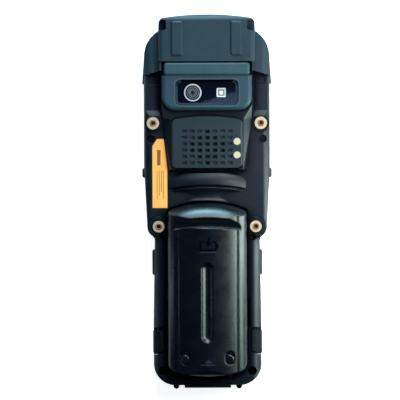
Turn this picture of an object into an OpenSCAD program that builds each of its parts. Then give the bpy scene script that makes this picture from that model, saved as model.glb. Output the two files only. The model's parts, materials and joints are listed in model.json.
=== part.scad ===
// Portable barcode data terminal, lying on its display face.
// X runs across the terminal, +Y towards the reading window, +Z towards the back.
// The origin is the middle of the front face.

/* [Overall] */
// Length over the strap lugs at the lower end
body_len = 206.3; // [204:0.1:222]
// Width of the head just below the top bumper
head_w = 69.4; // [68.8:0.2:73]
// Width of the handle at its fullest
handle_w = 59.4; // [58.8:0.2:61]
// Width of the handle at the neck
neck_w = 57.9; // [57.2:0.1:58.8]
// Corner radius of the handle's lower end
end_r = 12; // [9:0.5:15]
// Wall of both housings
wall = 2; // [1.8:0.1:2.2]
// How far the strap lugs stand out of the lower end
lug_proud = 1.95; // [1:0.05:2.5]

/* [Depths from the front face] */
// Step from the head's front face back to the handle's front face
handle_step = 1; // [0.6:0.1:1.4]
// Parting plane of the two housings
parting_z = 8; // [7.8:0.1:8.4]
// Back face of the head
head_z = 21.5; // [21:0.1:22]
// Back face of the handle
handle_z = 20.5; // [20:0.1:21]
// Top of the raised spine down the back
spine_z = 24.5; // [23.8:0.1:25.2]
// Top of the finger rest below the speaker
rest_z = 25.3; // [24.8:0.1:25.6]
// Top of the hood
hood_z = 28.5; // [27.5:0.1:30]
// Crown of the battery cover
cover_z = 32.5; // [31.6:0.1:34]

/* [Top bumper] */
// Width of the hood
hood_w = 53.2; // [52.2:0.2:56]
// Length of the hood from the top end to its lower seam
hood_len = 25.85; // [25.2:0.05:26.6]
// Radius of the hood's arched top edge
hood_arc_r = 160; // [120:5:220]
// Corner radius of the hood
hood_corner_r = 3.4; // [2.5:0.1:4.5]
// How far the bumper's shoulders stand out beside the head
shoulder_proud = 0.9; // [0.7:0.05:1.2]
// Corner radius of the shoulders
shoulder_r = 15.9; // [13:0.1:17]
// Distance from the top end down to the shoulders
shoulder_drop = 9.1; // [8.6:0.1:10]
// Back face of the shoulders
shoulder_z = 22.5; // [22.1:0.1:23.4]
// Length of the bumper down the sides
bumper_len = 38.45; // [37:0.05:41]
// Length of the bumper down the back, beside the hood
bumper_back_len = 31.65; // [30:0.05:33]
// Wall of the bumpers
bumper_t = 2.4; // [2:0.1:2.8]
// Length of the two grip ribs on the hood
rib_len = 19; // [14:0.5:20]
// Width of the grip ribs
rib_w = 6.4; // [4:0.2:7]
// Middle of a grip rib from the centre line
rib_x = 16.4; // [14:0.2:18]
// Height of the grip ribs
rib_h = 1; // [0.6:0.1:1.4]
// Width of the side notches of the hood
notch_w = 4.2; // [3:0.1:4.4]
// Length of the side notches
notch_len = 6.8; // [5:0.1:7.4]

/* [Brow and camera] */
// Width of the brow bar
brow_w = 47.4; // [44:0.2:48]
// Length of the brow bar along the terminal
brow_len = 7; // [6:0.1:7.4]
// Top of the brow bar
brow_z = 28.4; // [27.8:0.1:29]
// Width of the camera frame
frame_w = 49.6; // [48:0.2:51]
// Length of the camera frame
frame_len = 19.4; // [18.6:0.2:20]
// Top of the camera frame
frame_z = 27.2; // [26.8:0.1:27.7]
// Corner radius of the camera frame
frame_r = 7; // [5:0.2:8]
// Width of the camera window
window_w = 35; // [33:0.2:38]
// Length of the camera window
window_len = 14.4; // [13.8:0.2:14.8]
// Corner radius of the camera window
window_r = 3; // [2:0.1:4]
// Thickness of the camera window
window_t = 1; // [0.8:0.1:1.2]
// Middle of the lens from the centre line, towards -X
lens_x = 7.7; // [6.5:0.1:9]
// Diameter of the lens ring
lens_d = 9.8; // [8:0.1:10.4]
// Middle of the flash from the centre line, towards +X
flash_x = 8; // [6.5:0.1:10]
// Side of the flash's square frame
flash_side = 5.4; // [4.4:0.1:6]

/* [Speaker pad and finger rest] */
// Width of the spine's foot below the speaker
spine_w = 42.8; // [42.2:0.2:43.4]
// How far each flank of the spine runs outwards towards the camera
spine_flare = 3.4; // [2.6:0.1:3.6]
// Width of the spine under the camera
spine_head_w = 51.6; // [51.2:0.2:52.4]
// Length of the speaker pad
pad_len = 29; // [28:0.2:29.6]
// Width of the speaker pad
pad_w = 39.6; // [38:0.2:40.2]
// Radius of the pad's arched upper edge
pad_arc_r = 100; // [80:5:200]
// How far the pad stands above the spine
pad_proud = 1; // [0.6:0.1:1.4]
// Pitch of the grille's columns
grille_dx = 4.19; // [3.8:0.01:4.3]
// Pitch of the grille's rows
grille_dy = 3.5; // [3.1:0.05:3.6]
// Side of a sound hole
grille_hole = 1.9; // [1.4:0.1:2.1]
// Width of a grille recess
grille_groove = 2.9; // [2.4:0.1:3.2]
// Depth of the grille recesses
grille_depth = 0.8; // [0.5:0.1:1]
// Diameter of the two contact pads
contact_d = 3.8; // [3:0.1:4]
// Pitch of the two contact pads
contact_pitch = 7.45; // [6.5:0.05:8]
// Middle of the contact pads from the centre line
contact_x = 16.6; // [15.8:0.1:16.8]
// Length between the speaker pad and the battery cover
rest_len = 18.8; // [18.2:0.1:20]
// Radius of the finger rest across the terminal
rest_arc_r = 56; // [52:1:70]
// Slope of the axis that the finger rest is bent about, in degrees
rest_tilt = 30; // [20:1:36]
// Radius of the finger rest along the terminal
bulge_r = 12; // [10:0.5:20]

/* [Grip inserts and screws] */
// Distance between the two upper grip inserts
upper_pitch = 59.5; // [58.5:0.1:60]
// Distance between the two lower grip inserts
lower_pitch = 53.6; // [53:0.1:54.4]
// Radius of an insert's thread, M2.5 core
insert_hole_r = 1.05; // [0.8:0.05:1.5]
// Diameter of the upper inserts' flanges
upper_flange_d = 6.8; // [6:0.1:7.2]
// Diameter of the lower inserts' flanges
lower_flange_d = 6.4; // [5.8:0.1:6.8]
// Thickness of an insert's flange
flange_t = 0.8; // [0.6:0.1:1]
// Diameter of an insert's barrel
barrel_d = 4.6; // [4:0.1:4.8]
// Length of an insert's barrel
barrel_len = 5.5; // [4.5:0.1:6]
// Radius of the boss round a lower insert
lower_boss_r = 6.2; // [5.8:0.1:6.6]
// Radius of the boss round an upper insert
upper_boss_r = 4.4; // [4:0.1:4.8]
// Diameter of a case screw's head
screw_head_d = 3.2; // [2.8:0.1:3.4]
// Diameter of a case screw's shank
screw_d = 1.8; // [1.6:0.1:2]
// Height of a case screw's head
screw_head_t = 1.6; // [1.2:0.1:2]

/* [Label recess] */
// Width of the label
label_w = 8.2; // [7:0.1:8.3]
// Distance from the lower grip inserts up to the label
label_gap = 10.3; // [9.8:0.1:14]
// Thickness of the label
label_t = 0.3; // [0.2:0.05:0.4]

/* [Battery pack] */
// Width of the battery cover
cover_w = 43.8; // [43:0.1:44.2]
// Distance from the handle's lower end to the cover
cover_end = 4.8; // [4.4:0.05:5.2]
// Radius of the cover's arched top end
cover_arc_r = 56; // [50:1:70]
// Radius of the cover's lower end
cover_end_r = 70; // [60:1:90]
// Crown radius of the cover across its width
crown_r = 48; // [44:1:60]
// Fillet between the crown and the sides
crown_fillet = 6; // [5:0.1:6.5]
// Rounding of the cover's top end
roll_r = 14; // [13.4:0.1:15]
// Rounding of the cover's lower end
cover_low_r = 3.4; // [2:0.2:7]
// Wall of the cover
cover_t = 1.5; // [1.2:0.1:1.6]
// Height of the pack's base tray
base_h = 5.6; // [5.2:0.1:6]
// Width of the pack's base tray
base_w = 39; // [37:0.2:39.4]
// Radius of the pack's pivot pins
pivot_r = 1; // [0.8:0.05:1.1]
// Distance from the cover's top end down to the pivot
pivot_drop = 8; // [7.6:0.1:8.4]
// Height of the pivot above the front face
pivot_z = 20; // [19.8:0.05:20.1]
// Depth of the finger scoop below the roll
scoop_depth = 4; // [3:0.1:4.2]
// Opening of the finger scoop along the cover
scoop_len = 5.2; // [4.8:0.1:6]
// Radius of the finger scoop's bend across the cover
scoop_arc_r = 110; // [70:5:200]
// Distance from the cover's top end to the scoop's lower edge
scoop_drop = 13.8; // [13:0.1:15]
// Length of the groove down the cover
groove_len = 44; // [30:1:48]
// Width of the groove down the cover
groove_w = 6.6; // [5:0.1:7]
// Depth of the groove down the cover
groove_depth = 2; // [1.4:0.1:2.2]
// Thickness of the battery cell
cell_t = 12.6; // [11:0.1:12.8]
// Width of the battery cell
cell_w = 35; // [33:0.2:35.4]
// Distance from the cover's lower end to the battery cell
cell_start = 8.7; // [8.6:0.1:12]
// Distance from the battery cell to the cover's top end
cell_stop = 18.4; // [18.2:0.1:26]

/* [Battery latches] */
// Middle of a latch from the centre line
latch_x = 12.3; // [11.5:0.1:13]
// Width of a latch's thumb piece
latch_w = 4.6; // [4:0.1:5]
// Length of a latch's thumb piece
latch_len = 5; // [4.4:0.1:5.4]
// Travel of a latch
latch_travel = 2; // [1.4:0.1:2.2]

/* [Side keys] */
// Length of an upper side button
upper_button_len = 5.5; // [5:0.1:7]
// Length of a lower side trigger
lower_button_len = 14.2; // [12:0.2:16]
// Height of the side buttons through the depth of the body
side_button_h = 4.2; // [3.6:0.1:4.4]
// How far the side buttons stand out
side_button_proud = 1.2; // [1:0.05:1.6]
// Travel of the side buttons
side_travel = 0.8; // [0.5:0.05:0.9]

/* [Port covers] */
// Length of a side port cover
flap_len = 13.8; // [13:0.1:14.2]
// Thickness of the port covers
flap_t = 1.5; // [1.3:0.1:1.7]
// How far a side port cover stands out
flap_proud = 0.35; // [0.2:0.05:0.5]
// Radius of the hinge bead of a port cover
bead_r = 1; // [0.9:0.05:1.1]
// Width of the dock port's cover
dock_w = 25.6; // [24:0.2:28]
// Thickness of the dock port's cover
dock_t = 2.8; // [2.4:0.1:3]

/* [Display] */
// Width of the display window
display_w = 59; // [57:0.2:60]
// Distance from the navigation ring to the display window
display_gap = 16.3; // [15:0.1:20]
// Thickness of the display window
display_t = 1.6; // [1.2:0.1:1.8]
// How far the display window lies below the bezel
display_sink = 0.6; // [0.4:0.1:0.8]
// Distance from the top end to the display window
display_drop = 16.5; // [16:0.1:17.5]

/* [Keypad] */
// Width of a number key
key_w = 12.6; // [11.6:0.1:13]
// Length of a number key
key_len = 7.8; // [7:0.1:8.4]
// Pitch of the key columns
key_dx = 15.5; // [15:0.1:15.6]
// Pitch of the key rows
key_dy = 11.4; // [10.8:0.1:11.6]
// How far the keys stand out of the handle's front face
key_proud = 0.5; // [0.3:0.05:0.55]
// Travel of the keys
key_travel = 0.5; // [0.3:0.05:0.55]
// Width of the navigation ring
nav_w = 27; // [26:0.2:27.2]
// Length of the navigation ring
nav_len = 21; // [20:0.2:22]
// Diameter of the scan key in the middle of the ring
scan_key_d = 12; // [10:0.2:12.6]
// Distance from the lower end to the middle of the power key
keypad_end = 12.85; // [12.5:0.05:14]
// Distance from the number keys to the navigation ring
nav_gap = 6.3; // [5.4:0.1:7]

/* [Fits] */
// Gap round pieces that move
run_gap = 0.3; // [0.25:0.01:0.35]
// Gap round pieces that are fixed in place
seat_gap = 0.1; // [0.05:0.01:0.15]
// Radial clearance of pins in their holes
pin_gap = 0.05; // [0.03:0.01:0.08]
// Seam round the battery cover
seam = 0.45; // [0.4:0.01:0.6]

/* [Hidden] */
$fn = 72;
eps = 0.01;
far = 60;

// stations along the terminal, from the top end down
y_top = body_len/2;
y_end = -body_len/2 + lug_proud;
shoulder_w = head_w + 2*shoulder_proud;
hood_y = y_top - hood_len;
shoulder_y = y_top - shoulder_drop;
bumper_y = y_top - bumper_len;
bumper_back_y = y_top - bumper_back_len;
part_gap = 0.6;
brow_y1 = hood_y - part_gap;
brow_y0 = brow_y1 - brow_len;
frame_y1 = brow_y0;
frame_y0 = frame_y1 - frame_len;
trench_len = 2.8;
pad_y1 = frame_y0 - trench_len;
pad_y0 = pad_y1 - pad_len;
slot_len = 3;
ridge_y = pad_y0 - slot_len - 8;
speaker_y = (pad_y0 + pad_y1)/2 - 1.2;
grille_y = (pad_y0 + pad_y1)/2 - 3.16;
contact_y = grille_y - 0.5;
upper_insert_y = pad_y1 - 4.3;
upper_screw_y = upper_insert_y - 8.7;
upper_screw_x = upper_pitch/2 + 1.1;
label_y1 = upper_screw_y;

// stations along the terminal, from the lower end up
cover_y0 = y_end + cover_end;
cover_y1 = pad_y0 - rest_len;
cover_len = cover_y1 - cover_y0;
cell_len = cover_len - cell_start - cell_stop;
cell_y = cover_y0 + cell_start + cell_len/2;
pivot_y = cover_y1 - pivot_drop;
lower_insert_y = cover_y1 - 13.5;
lower_screw_y = lower_insert_y - 5.9;
lower_screw_x = lower_pitch/2 - 1.6;
lower_ix = lower_pitch/2;
upper_ix = upper_pitch/2;
neck_y = lower_insert_y - 8;
belly_y = y_end + 35;
flap_y = y_end + 24.65;
cap_y = flap_y - flap_len/2 - part_gap;
hole_y = y_end + 7.8;
hole_x = handle_w/2 - 5.1;
hole_d = 5;
latch_y = cover_y0 + 9.2;
groove_y = cover_y0 + 40.6;
trigger_y = neck_y - 11.55;
button_y = pad_y0 - 2.6;
taper_y = pad_y0 + 1.5;
label_len = label_y1 - label_gap - lower_insert_y;
// room past the hinge for the flap's outer edge as it swings
hinge_room = 0.4;
flap_hx = handle_w/2 - 1.2;
flap_hy = flap_y + flap_len/2 - bead_r - run_gap;

// levels through the depth
board_t = 1.6;
board_z1 = parting_z;
board_z0 = board_z1 - board_t;
floor_t = 1.6;
bay_z = parting_z + 4.8;
ledge_z = bay_z + base_h;
lift = 0.2;
tray_z = bay_z + lift;
seat_z = ledge_z + lift;
pocket_z = ledge_z - 3.9;
band_z = head_z + 1.1;
hollow_z = head_z + 0.4;
hollow_r = 4.5;
ridge_z = rest_z - 0.6;
ridge_r = 0.55;
arch_proud = 0.012;
bay_w = base_w + 2*run_gap + 0.2;
bay_gap = 0.6;
nose_seam = seam + 0.25;
tub_t = 1.4;
front_in_z = handle_step + wall;

// core of the housings inside the bumpers
core_w = head_w - 2*bumper_t - 0.4;
core_top_y = y_top - bumper_t - 2.1;
hood_core_w = hood_w - 2*notch_w - 1.4;
hood_core_z = hood_z - bumper_t;
core_z = shoulder_z - bumper_t;
cap_t = bumper_t - 0.2;
lip_z = 16.6;

// ---------------------------------------------------------------- helpers

// draws children() from y0 to y1, with the drawing's own y as height
module along_y(y0, y1) {
    translate([0, y1, 0]) rotate([90, 0, 0]) linear_extrude(y1 - y0) children();
}

// draws children() from x0 to x1, with the drawing's x along the terminal
module along_x(x0, x1) {
    translate([x0, 0, 0]) rotate([90, 0, 90]) linear_extrude(x1 - x0) children();
}

module at_z(z0, z1) {
    translate([0, 0, z0]) linear_extrude(z1 - z0) children();
}

// both hands of a piece drawn on the +X side
module both() {
    children();
    mirror([1, 0, 0]) children();
}

// plate of half width hw from y0 up to y1, with rounded upper corners
module round_top(hw, y0, y1, r) {
    polygon([[-hw, y0], [hw, y0], [hw, y1 - r], [hw - r, y1], [r - hw, y1], [-hw, y1 - r]]);
    for (s = [-1, 1]) translate([s*(hw - r), y1 - r]) circle(r);
}

// height of the corners' centres under an arch of radius cr; the corners stand a little proud
// of it, so that the arch cuts them at a slight edge
function arch_y(hw, y1, cr, r) = y1 - cr + sqrt(pow(cr - r, 2) - pow(hw - r, 2)) + arch_proud;

// the same with an arched upper edge of radius cr
module arch_top(hw, y0, y1, cr, r) {
    fy = arch_y(hw, y1, cr, r);
    intersection() {
        translate([0, y1 - cr]) circle(cr, $fn = 360);
        union() {
            polygon([[-hw, y0], [hw, y0], [hw, fy], [hw - r, fy + r], [hw - r, y1 + 1],
                     [r - hw, y1 + 1], [r - hw, fy + r], [-hw, fy]]);
            for (s = [-1, 1]) translate([s*(hw - r), fy]) circle(r);
        }
    }
}

module round_plate(w, l, r) {
    polygon([[-w/2, r - l/2], [r - w/2, -l/2], [w/2 - r, -l/2], [w/2, r - l/2],
             [w/2, l/2 - r], [w/2 - r, l/2], [r - w/2, l/2], [-w/2, l/2 - r]]);
    for (sx = [-1, 1], sy = [-1, 1]) translate([sx*(w/2 - r), sy*(l/2 - r)]) circle(r);
}

// slab w by l by h, plan corners of radius r and an upper edge rounded by e
module soft_slab(w, l, h, r, e) {
    cx = w/2 - r;
    cy = l/2 - r;
    module edge() {
        square([r, h - e]);
        square([r - e, h]);
        translate([r - e, h - e]) intersection() {
            circle(e);
            square(e);
        }
    }
    translate([-cx, -cy, 0]) cube([2*cx, 2*cy, h]);
    for (k = [0, 1]) rotate(180*k) {
        translate([cx, cy, 0]) rotate_extrude(angle = 90) edge();
        translate([cx, -cy, 0]) rotate(-90) rotate_extrude(angle = 90) edge();
        translate([cx, cy, 0]) rotate([90, 0, 0]) linear_extrude(2*cy) edge();
        translate([-cx, cy, 0]) rotate([90, 0, 90]) linear_extrude(2*cx) edge();
    }
}

// ---------------------------------------------------------------- outlines

// outline of the head, drawn t inside its outer line
module head_plan(t = 0, top = y_top) {
    b = lower_boss_r - t;
    polygon([[lower_ix, lower_insert_y - b], [lower_ix + b, lower_insert_y],
             [head_w/2 - t, taper_y], [head_w/2 - t, top],
             [t - head_w/2, top], [t - head_w/2, taper_y],
             [-lower_ix - b, lower_insert_y], [-lower_ix, lower_insert_y - b]]);
    for (s = [-1, 1]) translate([s*lower_ix, lower_insert_y]) circle(b);
}

// outline of the handle, drawn t inside its outer line
module handle_plan(t = 0) {
    h = handle_w/2 - t;
    n = neck_w/2 - t;
    r = end_r - t;
    cy = y_end + end_r;
    polygon([[n, lower_insert_y], [n, neck_y], [h, belly_y], [h, cy], [h - r, y_end + t],
             [r - h, y_end + t], [-h, cy], [-h, belly_y], [-n, neck_y], [-n, lower_insert_y]]);
    for (s = [-1, 1]) translate([s*(h - r), cy]) circle(r);
}

// fillet in the neck, between the head's lower boss and the handle's side
module neck_fillet(t = 0) {
    n = neck_w/2 - t;
    b = lower_boss_r - t;
    f = 3 + t;
    dx = n + f - lower_ix;
    dy = sqrt(pow(b + f, 2) - dx*dx);
    difference() {
        polygon([[lower_ix, lower_insert_y], [n + f, lower_insert_y - dy],
                 [n - 2, lower_insert_y - dy], [lower_ix - 2, lower_insert_y]]);
        translate([n + f, lower_insert_y - dy]) circle(f);
    }
}

// the bumper's outline seen from the back
module shoulder_plan() {
    hw = shoulder_w/2;
    w1 = hw - 1.1;
    cy = shoulder_y - sqrt(pow(shoulder_r, 2) - pow(hood_w/2 - w1 + shoulder_r, 2));
    polygon([[-hw, bumper_y], [hw, bumper_y], [w1, cy], [-w1, cy]]);
    intersection() {
        union() {
            for (s = [-1, 1]) translate([s*(w1 - shoulder_r), cy]) circle(shoulder_r, $fn = 144);
            translate([shoulder_r - w1, cy]) square([2*(w1 - shoulder_r), shoulder_r]);
        }
        translate([-far, cy - eps]) square([2*far, shoulder_y - cy + eps]);
    }
}

// back of the head below the bumper's slanted back seam
module seam_plan(g = 0) {
    x0 = hood_w/2 - 1;
    x1 = head_w/2 + 1.2;
    y0 = bumper_back_y - 2.2 - g;
    y1 = bumper_back_y + 0.6 - g;
    polygon([[-far, bumper_y - 1], [far, bumper_y - 1], [far, y0], [x1, y0], [x0, y1],
             [-x0, y1], [-x1, y0], [-far, y0]]);
}

module hood_plan() {
    arch_top(hood_w/2, bumper_back_y, y_top, hood_arc_r, hood_corner_r);
}

// core of both housings under the top bumper
module core_plan(g = 0) {
    a = core_w/2 + g;
    b = hood_core_w/2 + g;
    y = shoulder_y + g;
    polygon([[-a, bumper_y - eps], [a, bumper_y - eps], [a, y - 12], [a - 2.6, y - 5.4 - g/2],
             [a - 6, y - 2.4], [b, y - 1], [b, core_top_y + g], [-b, core_top_y + g], [-b, y - 1],
             [6 - a, y - 2.4], [2.6 - a, y - 5.4 - g/2], [-a, y - 12]]);
}

// outline of the battery cover and its bay, with upper corners of radius r
module cover_outline(side, top, r) {
    hw = cover_w/2 + side;
    r0 = 6.6 + side;
    fy = arch_y(hw, cover_y1 + top, cover_arc_r + top, r);
    fy0 = -arch_y(hw, side - cover_y0, cover_end_r + side, r0);
    intersection() {
        translate([0, cover_y1 - cover_arc_r]) circle(cover_arc_r + top, $fn = 360);
        translate([0, cover_y0 + cover_end_r]) circle(cover_end_r + side, $fn = 360);
        union() {
            polygon([[-hw, fy0], [r0 - hw, fy0 - r0], [r0 - hw, cover_y0 - 2], [hw - r0, cover_y0 - 2],
                     [hw - r0, fy0 - r0], [hw, fy0], [hw, fy], [hw - r, fy + r], [hw - r, cover_y1 + 3],
                     [r - hw, cover_y1 + 3], [r - hw, fy + r], [-hw, fy]]);
            for (s = [-1, 1]) {
                translate([s*(hw - r), fy]) circle(r);
                translate([s*(hw - r0), fy0]) circle(r0);
            }
        }
    }
}

module cover_plan(g = 0) {
    cover_outline(g, g, 4 + g);
}

// the bay's outline leaves the nose more room, as it swings forward while the pack tilts
module bay_plan(g = 0) {
    cover_outline(seam + g, nose_seam + g, 2.4 + g);
}

// outline of the pack's base tray and of the bay round it
module base_plan(w, g) {
    l = cover_len - 14;
    translate([0, (cover_y0 + cover_y1)/2 - 3]) round_plate(w, l + 2*g, 3 + g);
}

// ---------------------------------------------------------------- housings

// solid form of the rear housing's back, t inside its outer faces
module rear_form(t = 0) {
    z0 = parting_z - (t > 0 ? 1 : 0);
    // head
    intersection() {
        at_z(z0, head_z - t) head_plan(t, bumper_y);
        along_y(lower_insert_y - far, bumper_y) round_top(head_w/2 - t, z0 - 1, head_z - t, 4);
    }
    // handle
    intersection() {
        at_z(z0, handle_z - t) handle_plan(t);
        along_y(y_end - 1, lower_insert_y + 1) round_top(handle_w/2 - t, z0 - 1, handle_z - t, 5);
    }
    both() at_z(z0, handle_z - t - 5) neck_fillet(t);
    // under the top bumper
    at_z(z0, core_z - t) intersection() {
        difference() {
            core_plan(-t);
            translate([-far, -far]) square([2*far, far + bumper_y - t - eps]);
        }
        translate([-far, 0]) square([2*far, y_top]);
    }
    at_z(z0, hood_core_z - t) translate([t - hood_core_w/2, brow_y1 + t])
        square([hood_core_w - 2*t, core_top_y - brow_y1 - 2*t]);
}

// slice of the spine at y, half as wide as foot at its foot and as top at its back
module spine_slice(y, foot, top, len = eps) {
    z0 = head_z - 1;
    along_y(y, y + len) polygon([[-foot, z0], [foot, z0], [foot, head_z], [top, spine_z],
                                 [-top, spine_z], [-foot, head_z]]);
}

// raised spine down the back, with the finger rest
module spine() {
    low_y = pad_y0 - 1;
    mid_y = pad_y1 - 2;
    high_y = frame_y0 + 3;
    foot = spine_w/2 + spine_flare;
    top = pad_w/2 + 0.1;
    head_foot = spine_head_w/2;
    head_top = frame_w/2 + 0.1;
    hull() {
        spine_slice(low_y, spine_w/2, top);
        spine_slice(mid_y, foot, top + 0.4);
    }
    hull() {
        spine_slice(mid_y, foot, top + 0.4);
        spine_slice(high_y, head_foot, head_top);
    }
    spine_slice(high_y, head_foot, head_top, brow_y1 - high_y);
    finger_rest();
}

// finger rest, fine ridge and hollow, bent about one sloping axis across the terminal
module finger_rest() {
    intersection() {
        translate([0, ridge_y - rest_arc_r*sin(rest_tilt), rest_z - rest_arc_r*cos(rest_tilt)])
            rotate([90 - rest_tilt, 0, 0]) rotate_extrude($fn = 360) translate([rest_arc_r, 0])
                rotate(rest_tilt - 90) translate([-ridge_y, -rest_z]) rest_profile();
        translate([-spine_w/2, cover_y1 - 12, head_z - 1]) cube([spine_w, rest_len + 11.5, far]);
    }
}

// side view of the finger rest: the rest, a fine ridge, the hollow and the band beside the cover
module rest_profile() {
    z0 = head_z - 2;
    y0 = cover_y1 - 16;
    step_z = ridge_z - 0.45;
    crest_y = ridge_y + 2.9;
    intersection() {
        translate([crest_y, rest_z - bulge_r]) circle(bulge_r, $fn = 180);
        polygon([[ridge_y + 1, z0], [crest_y + bulge_r, z0], [crest_y + bulge_r, rest_z + 1],
                 [ridge_y + 1.9, rest_z + 1], [ridge_y + 1.9, rest_z - 0.1], [ridge_y + 1, step_z]]);
    }
    difference() {
        union() {
            translate([ridge_y, ridge_z - ridge_r]) circle(ridge_r);
            polygon([[y0, z0], [ridge_y + 1.2, z0], [ridge_y + 1.2, step_z], [ridge_y - 3, step_z],
                     [ridge_y - 3, band_z], [y0, band_z]]);
        }
        translate([ridge_y - 4.3, hollow_z + hollow_r]) circle(hollow_r, $fn = 96);
    }
}

// the pocket for the label, beside the spine
module label_plan(g = 0) {
    x0 = spine_w/2 + 0.5;
    x1 = x0 + label_w;
    mirror([1, 0]) polygon([[x0 - g, label_y1 - label_len - g], [x1 + g, label_y1 - label_len - g],
                            [x1 + g, label_y1 - 4], [x1 - 2.6, label_y1 + g], [x0 + 1.9, label_y1 + g],
                            [x0 - g, label_y1 - 16]]);
}

// ---------------------------------------------------------------- rear housing

// column for a case screw, from the parting plane to the outer face
module screw_columns(r, z0, z1) {
    for (s = [-1, 1]) {
        translate([s*upper_screw_x, upper_screw_y, z0]) cylinder(r = r, h = z1 - z0);
        translate([s*lower_screw_x, lower_screw_y, z0]) cylinder(r = r, h = z1 - z0);
    }
}

module insert_bosses(extra, z0, z1) {
    for (s = [-1, 1]) {
        translate([s*upper_ix, upper_insert_y, z0]) cylinder(r = upper_boss_r + extra, h = z1 - z0);
        translate([s*lower_ix, lower_insert_y, z0]) cylinder(r = lower_boss_r - 1 + extra, h = z1 - z0);
    }
}

// walls and floor of the battery bay
module bay_tub() {
    at_z(bay_z - floor_t, ledge_z) base_plan(bay_w + 2*tub_t, bay_gap + tub_t);
    at_z(ledge_z - tub_t, handle_z - 3) bay_plan(tub_t);
    at_z(pocket_z - tub_t, ledge_z) nose_plan(tub_t);
}

// room for the pack's nose to swing down in
module nose_plan(g) {
    intersection() {
        bay_plan(g);
        translate([-far, pivot_y - 4 - g]) square([2*far, far]);
    }
}

module bay_space() {
    at_z(bay_z, ledge_z + eps) base_plan(bay_w, bay_gap);
    at_z(ledge_z, far) bay_plan();
    at_z(pocket_z, ledge_z + eps) nose_plan(0);
    // pivot holes
    along_pivot() cylinder(r = pivot_r + pin_gap, h = cover_w + 4.4, center = true);
}

module along_pivot() {
    translate([0, pivot_y, pivot_z]) rotate([0, 90, 0]) children();
}

// recess of a side port cover, on the +X side
module flap_recess() {
    intersection() {
        translate([cover_w/2 + 2.2, flap_y - flap_len/2, parting_z + 0.3])
            cube([far, flap_len + hinge_room, far]);
        along_y(flap_y - flap_len, flap_y + flap_len) difference() {
            round_top(handle_w/2 + 1, 0, handle_z + 1, 5);
            round_top(handle_w/2 - flap_t, 0, handle_z - flap_t, 3.5);
        }
    }
    translate([flap_hx, flap_hy, parting_z + 0.3])
        cylinder(r = bead_r + run_gap, h = handle_z - parting_z - 5.4);
}

// hole of a side button through a side wall, on the +X side
module side_hole(y, len, z) {
    translate([0, y, z]) rotate([90, 0, 90]) linear_extrude(far)
        round_plate(len + 2*run_gap, side_button_h + 2*run_gap, side_button_h/2 + run_gap - eps);
}

module rear_housing() {
    frame_mid = (frame_y0 + frame_y1)/2;
    color("#20262c")
    difference() {
        union() {
            difference() {
                union() {
                    rear_form();
                    spine();
                    intersection() {
                        along_y(bumper_y - 1, bumper_back_y + 1) difference() {
                            round_top(head_w/2, parting_z, head_z, 4);
                            square([core_w, 4*core_z], center = true);
                        }
                        at_z(lip_z + 0.2, far) seam_plan(0.2);
                    }
                }
                rear_form(wall);
            }
            intersection() {
                rear_form();
                union() {
                    bay_tub();
                    screw_columns(2.6, parting_z, head_z);
                    insert_bosses(0, parting_z, head_z);
                    for (s = [0, 1]) mirror([s, 0, 0])
                        translate([cover_w/2 + 1.8, flap_y - flap_len/2 - 1.4, parting_z])
                            cube([far, flap_len + 2.8, far]);
                }
            }
            intersection() {
                at_z(head_z - 1, head_z + 0.4) head_plan();
                insert_bosses(0.3, head_z - 1, head_z + 0.4);
            }
        }
        bay_space();
        // grip inserts
        for (s = [-1, 1], p = [[upper_ix, upper_insert_y], [lower_ix, lower_insert_y]])
            translate([s*p[0], p[1], head_z + 0.4 - barrel_len])
                cylinder(d = barrel_d + 2*pin_gap, h = far);
        // case screws
        screw_columns(screw_d/2 + seat_gap, 0, far);
        for (s = [-1, 1]) {
            translate([s*upper_screw_x, upper_screw_y, head_z - 2.6]) cylinder(d = screw_head_d + 1, h = 9);
            translate([s*lower_screw_x, lower_screw_y, handle_z - 2.6])
                cylinder(d = screw_head_d + 0.4, h = 9);
        }
        // label
        at_z(head_z - label_t - 0.1, far) label_plan(0.2);
        // speaker pad seat and the opening behind it
        at_z(spine_z - 0.8, far) pad_plan(seat_gap);
        at_z(parting_z - 1, spine_z) translate([0, speaker_y]) round_plate(31, pad_len - 4.4, 3);
        // camera
        at_z(parting_z - 1, far) translate([0, frame_mid]) round_plate(window_w - 3, window_len - 1.6, 3);
        // lowered flats beside the camera
        both() along_x(spine_head_w/2, far)
            polygon([[frame_y0 - 3.2, head_z], [frame_y0, head_z - 1.1], [bumper_back_y + 1, head_z - 1.1],
                     [bumper_back_y + 1, far], [frame_y0 - 3.2, far]]);
        // reading window in the hood's end
        at_hood_end(core_top_y - wall - 1, core_top_y + 1) round_plate(30, 9, 2);
        // side buttons and triggers
        for (s = [0, 1]) mirror([s, 0, 0]) {
            translate([head_w/2 - 6, 0, 0]) side_hole(button_y, upper_button_len, side_z());
            translate([handle_w/2 - 6, 0, 0]) side_hole(trigger_y, lower_button_len, side_z());
            flap_recess();
            translate([bay_w/2 + tub_t + 0.2, flap_y - 5, parting_z - 1]) cube([far, 10, 4]);
        }
        // slot beside the cover, to lift it
        translate([cover_w/2 + 0.3, flap_y + flap_len/2 + 0.6, handle_z - 2.4]) cube([1.4, 16.2, 9]);
        // dock port
        translate([-8.4, y_end - 1, parting_z - 1]) cube([16.8, end_r - 4, 4.4]);
        // contact pins in the bay floor
        for (k = [-1:1]) translate([k*4, cover_y1 - 18, 0]) cylinder(r = 0.8 + seat_gap, h = bay_z + 1);
        // lower end under the bottom bumper
        bumper_room();
        slot_cut();
    }
}

function side_z() = parting_z + 5.6;

module at_hood_end(y0, y1) {
    along_y(y0, y1) translate([0, (core_z + hood_core_z)/2 - 3.2]) children();
}

// the slot between the speaker pad and the finger rest
module slot_cut() {
    translate([0, pad_y0 - slot_len/2, head_z + 0.6])
        linear_extrude(far) round_plate(spine_w - 8, slot_len - 0.3, slot_len/2 - 0.2);
}

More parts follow.
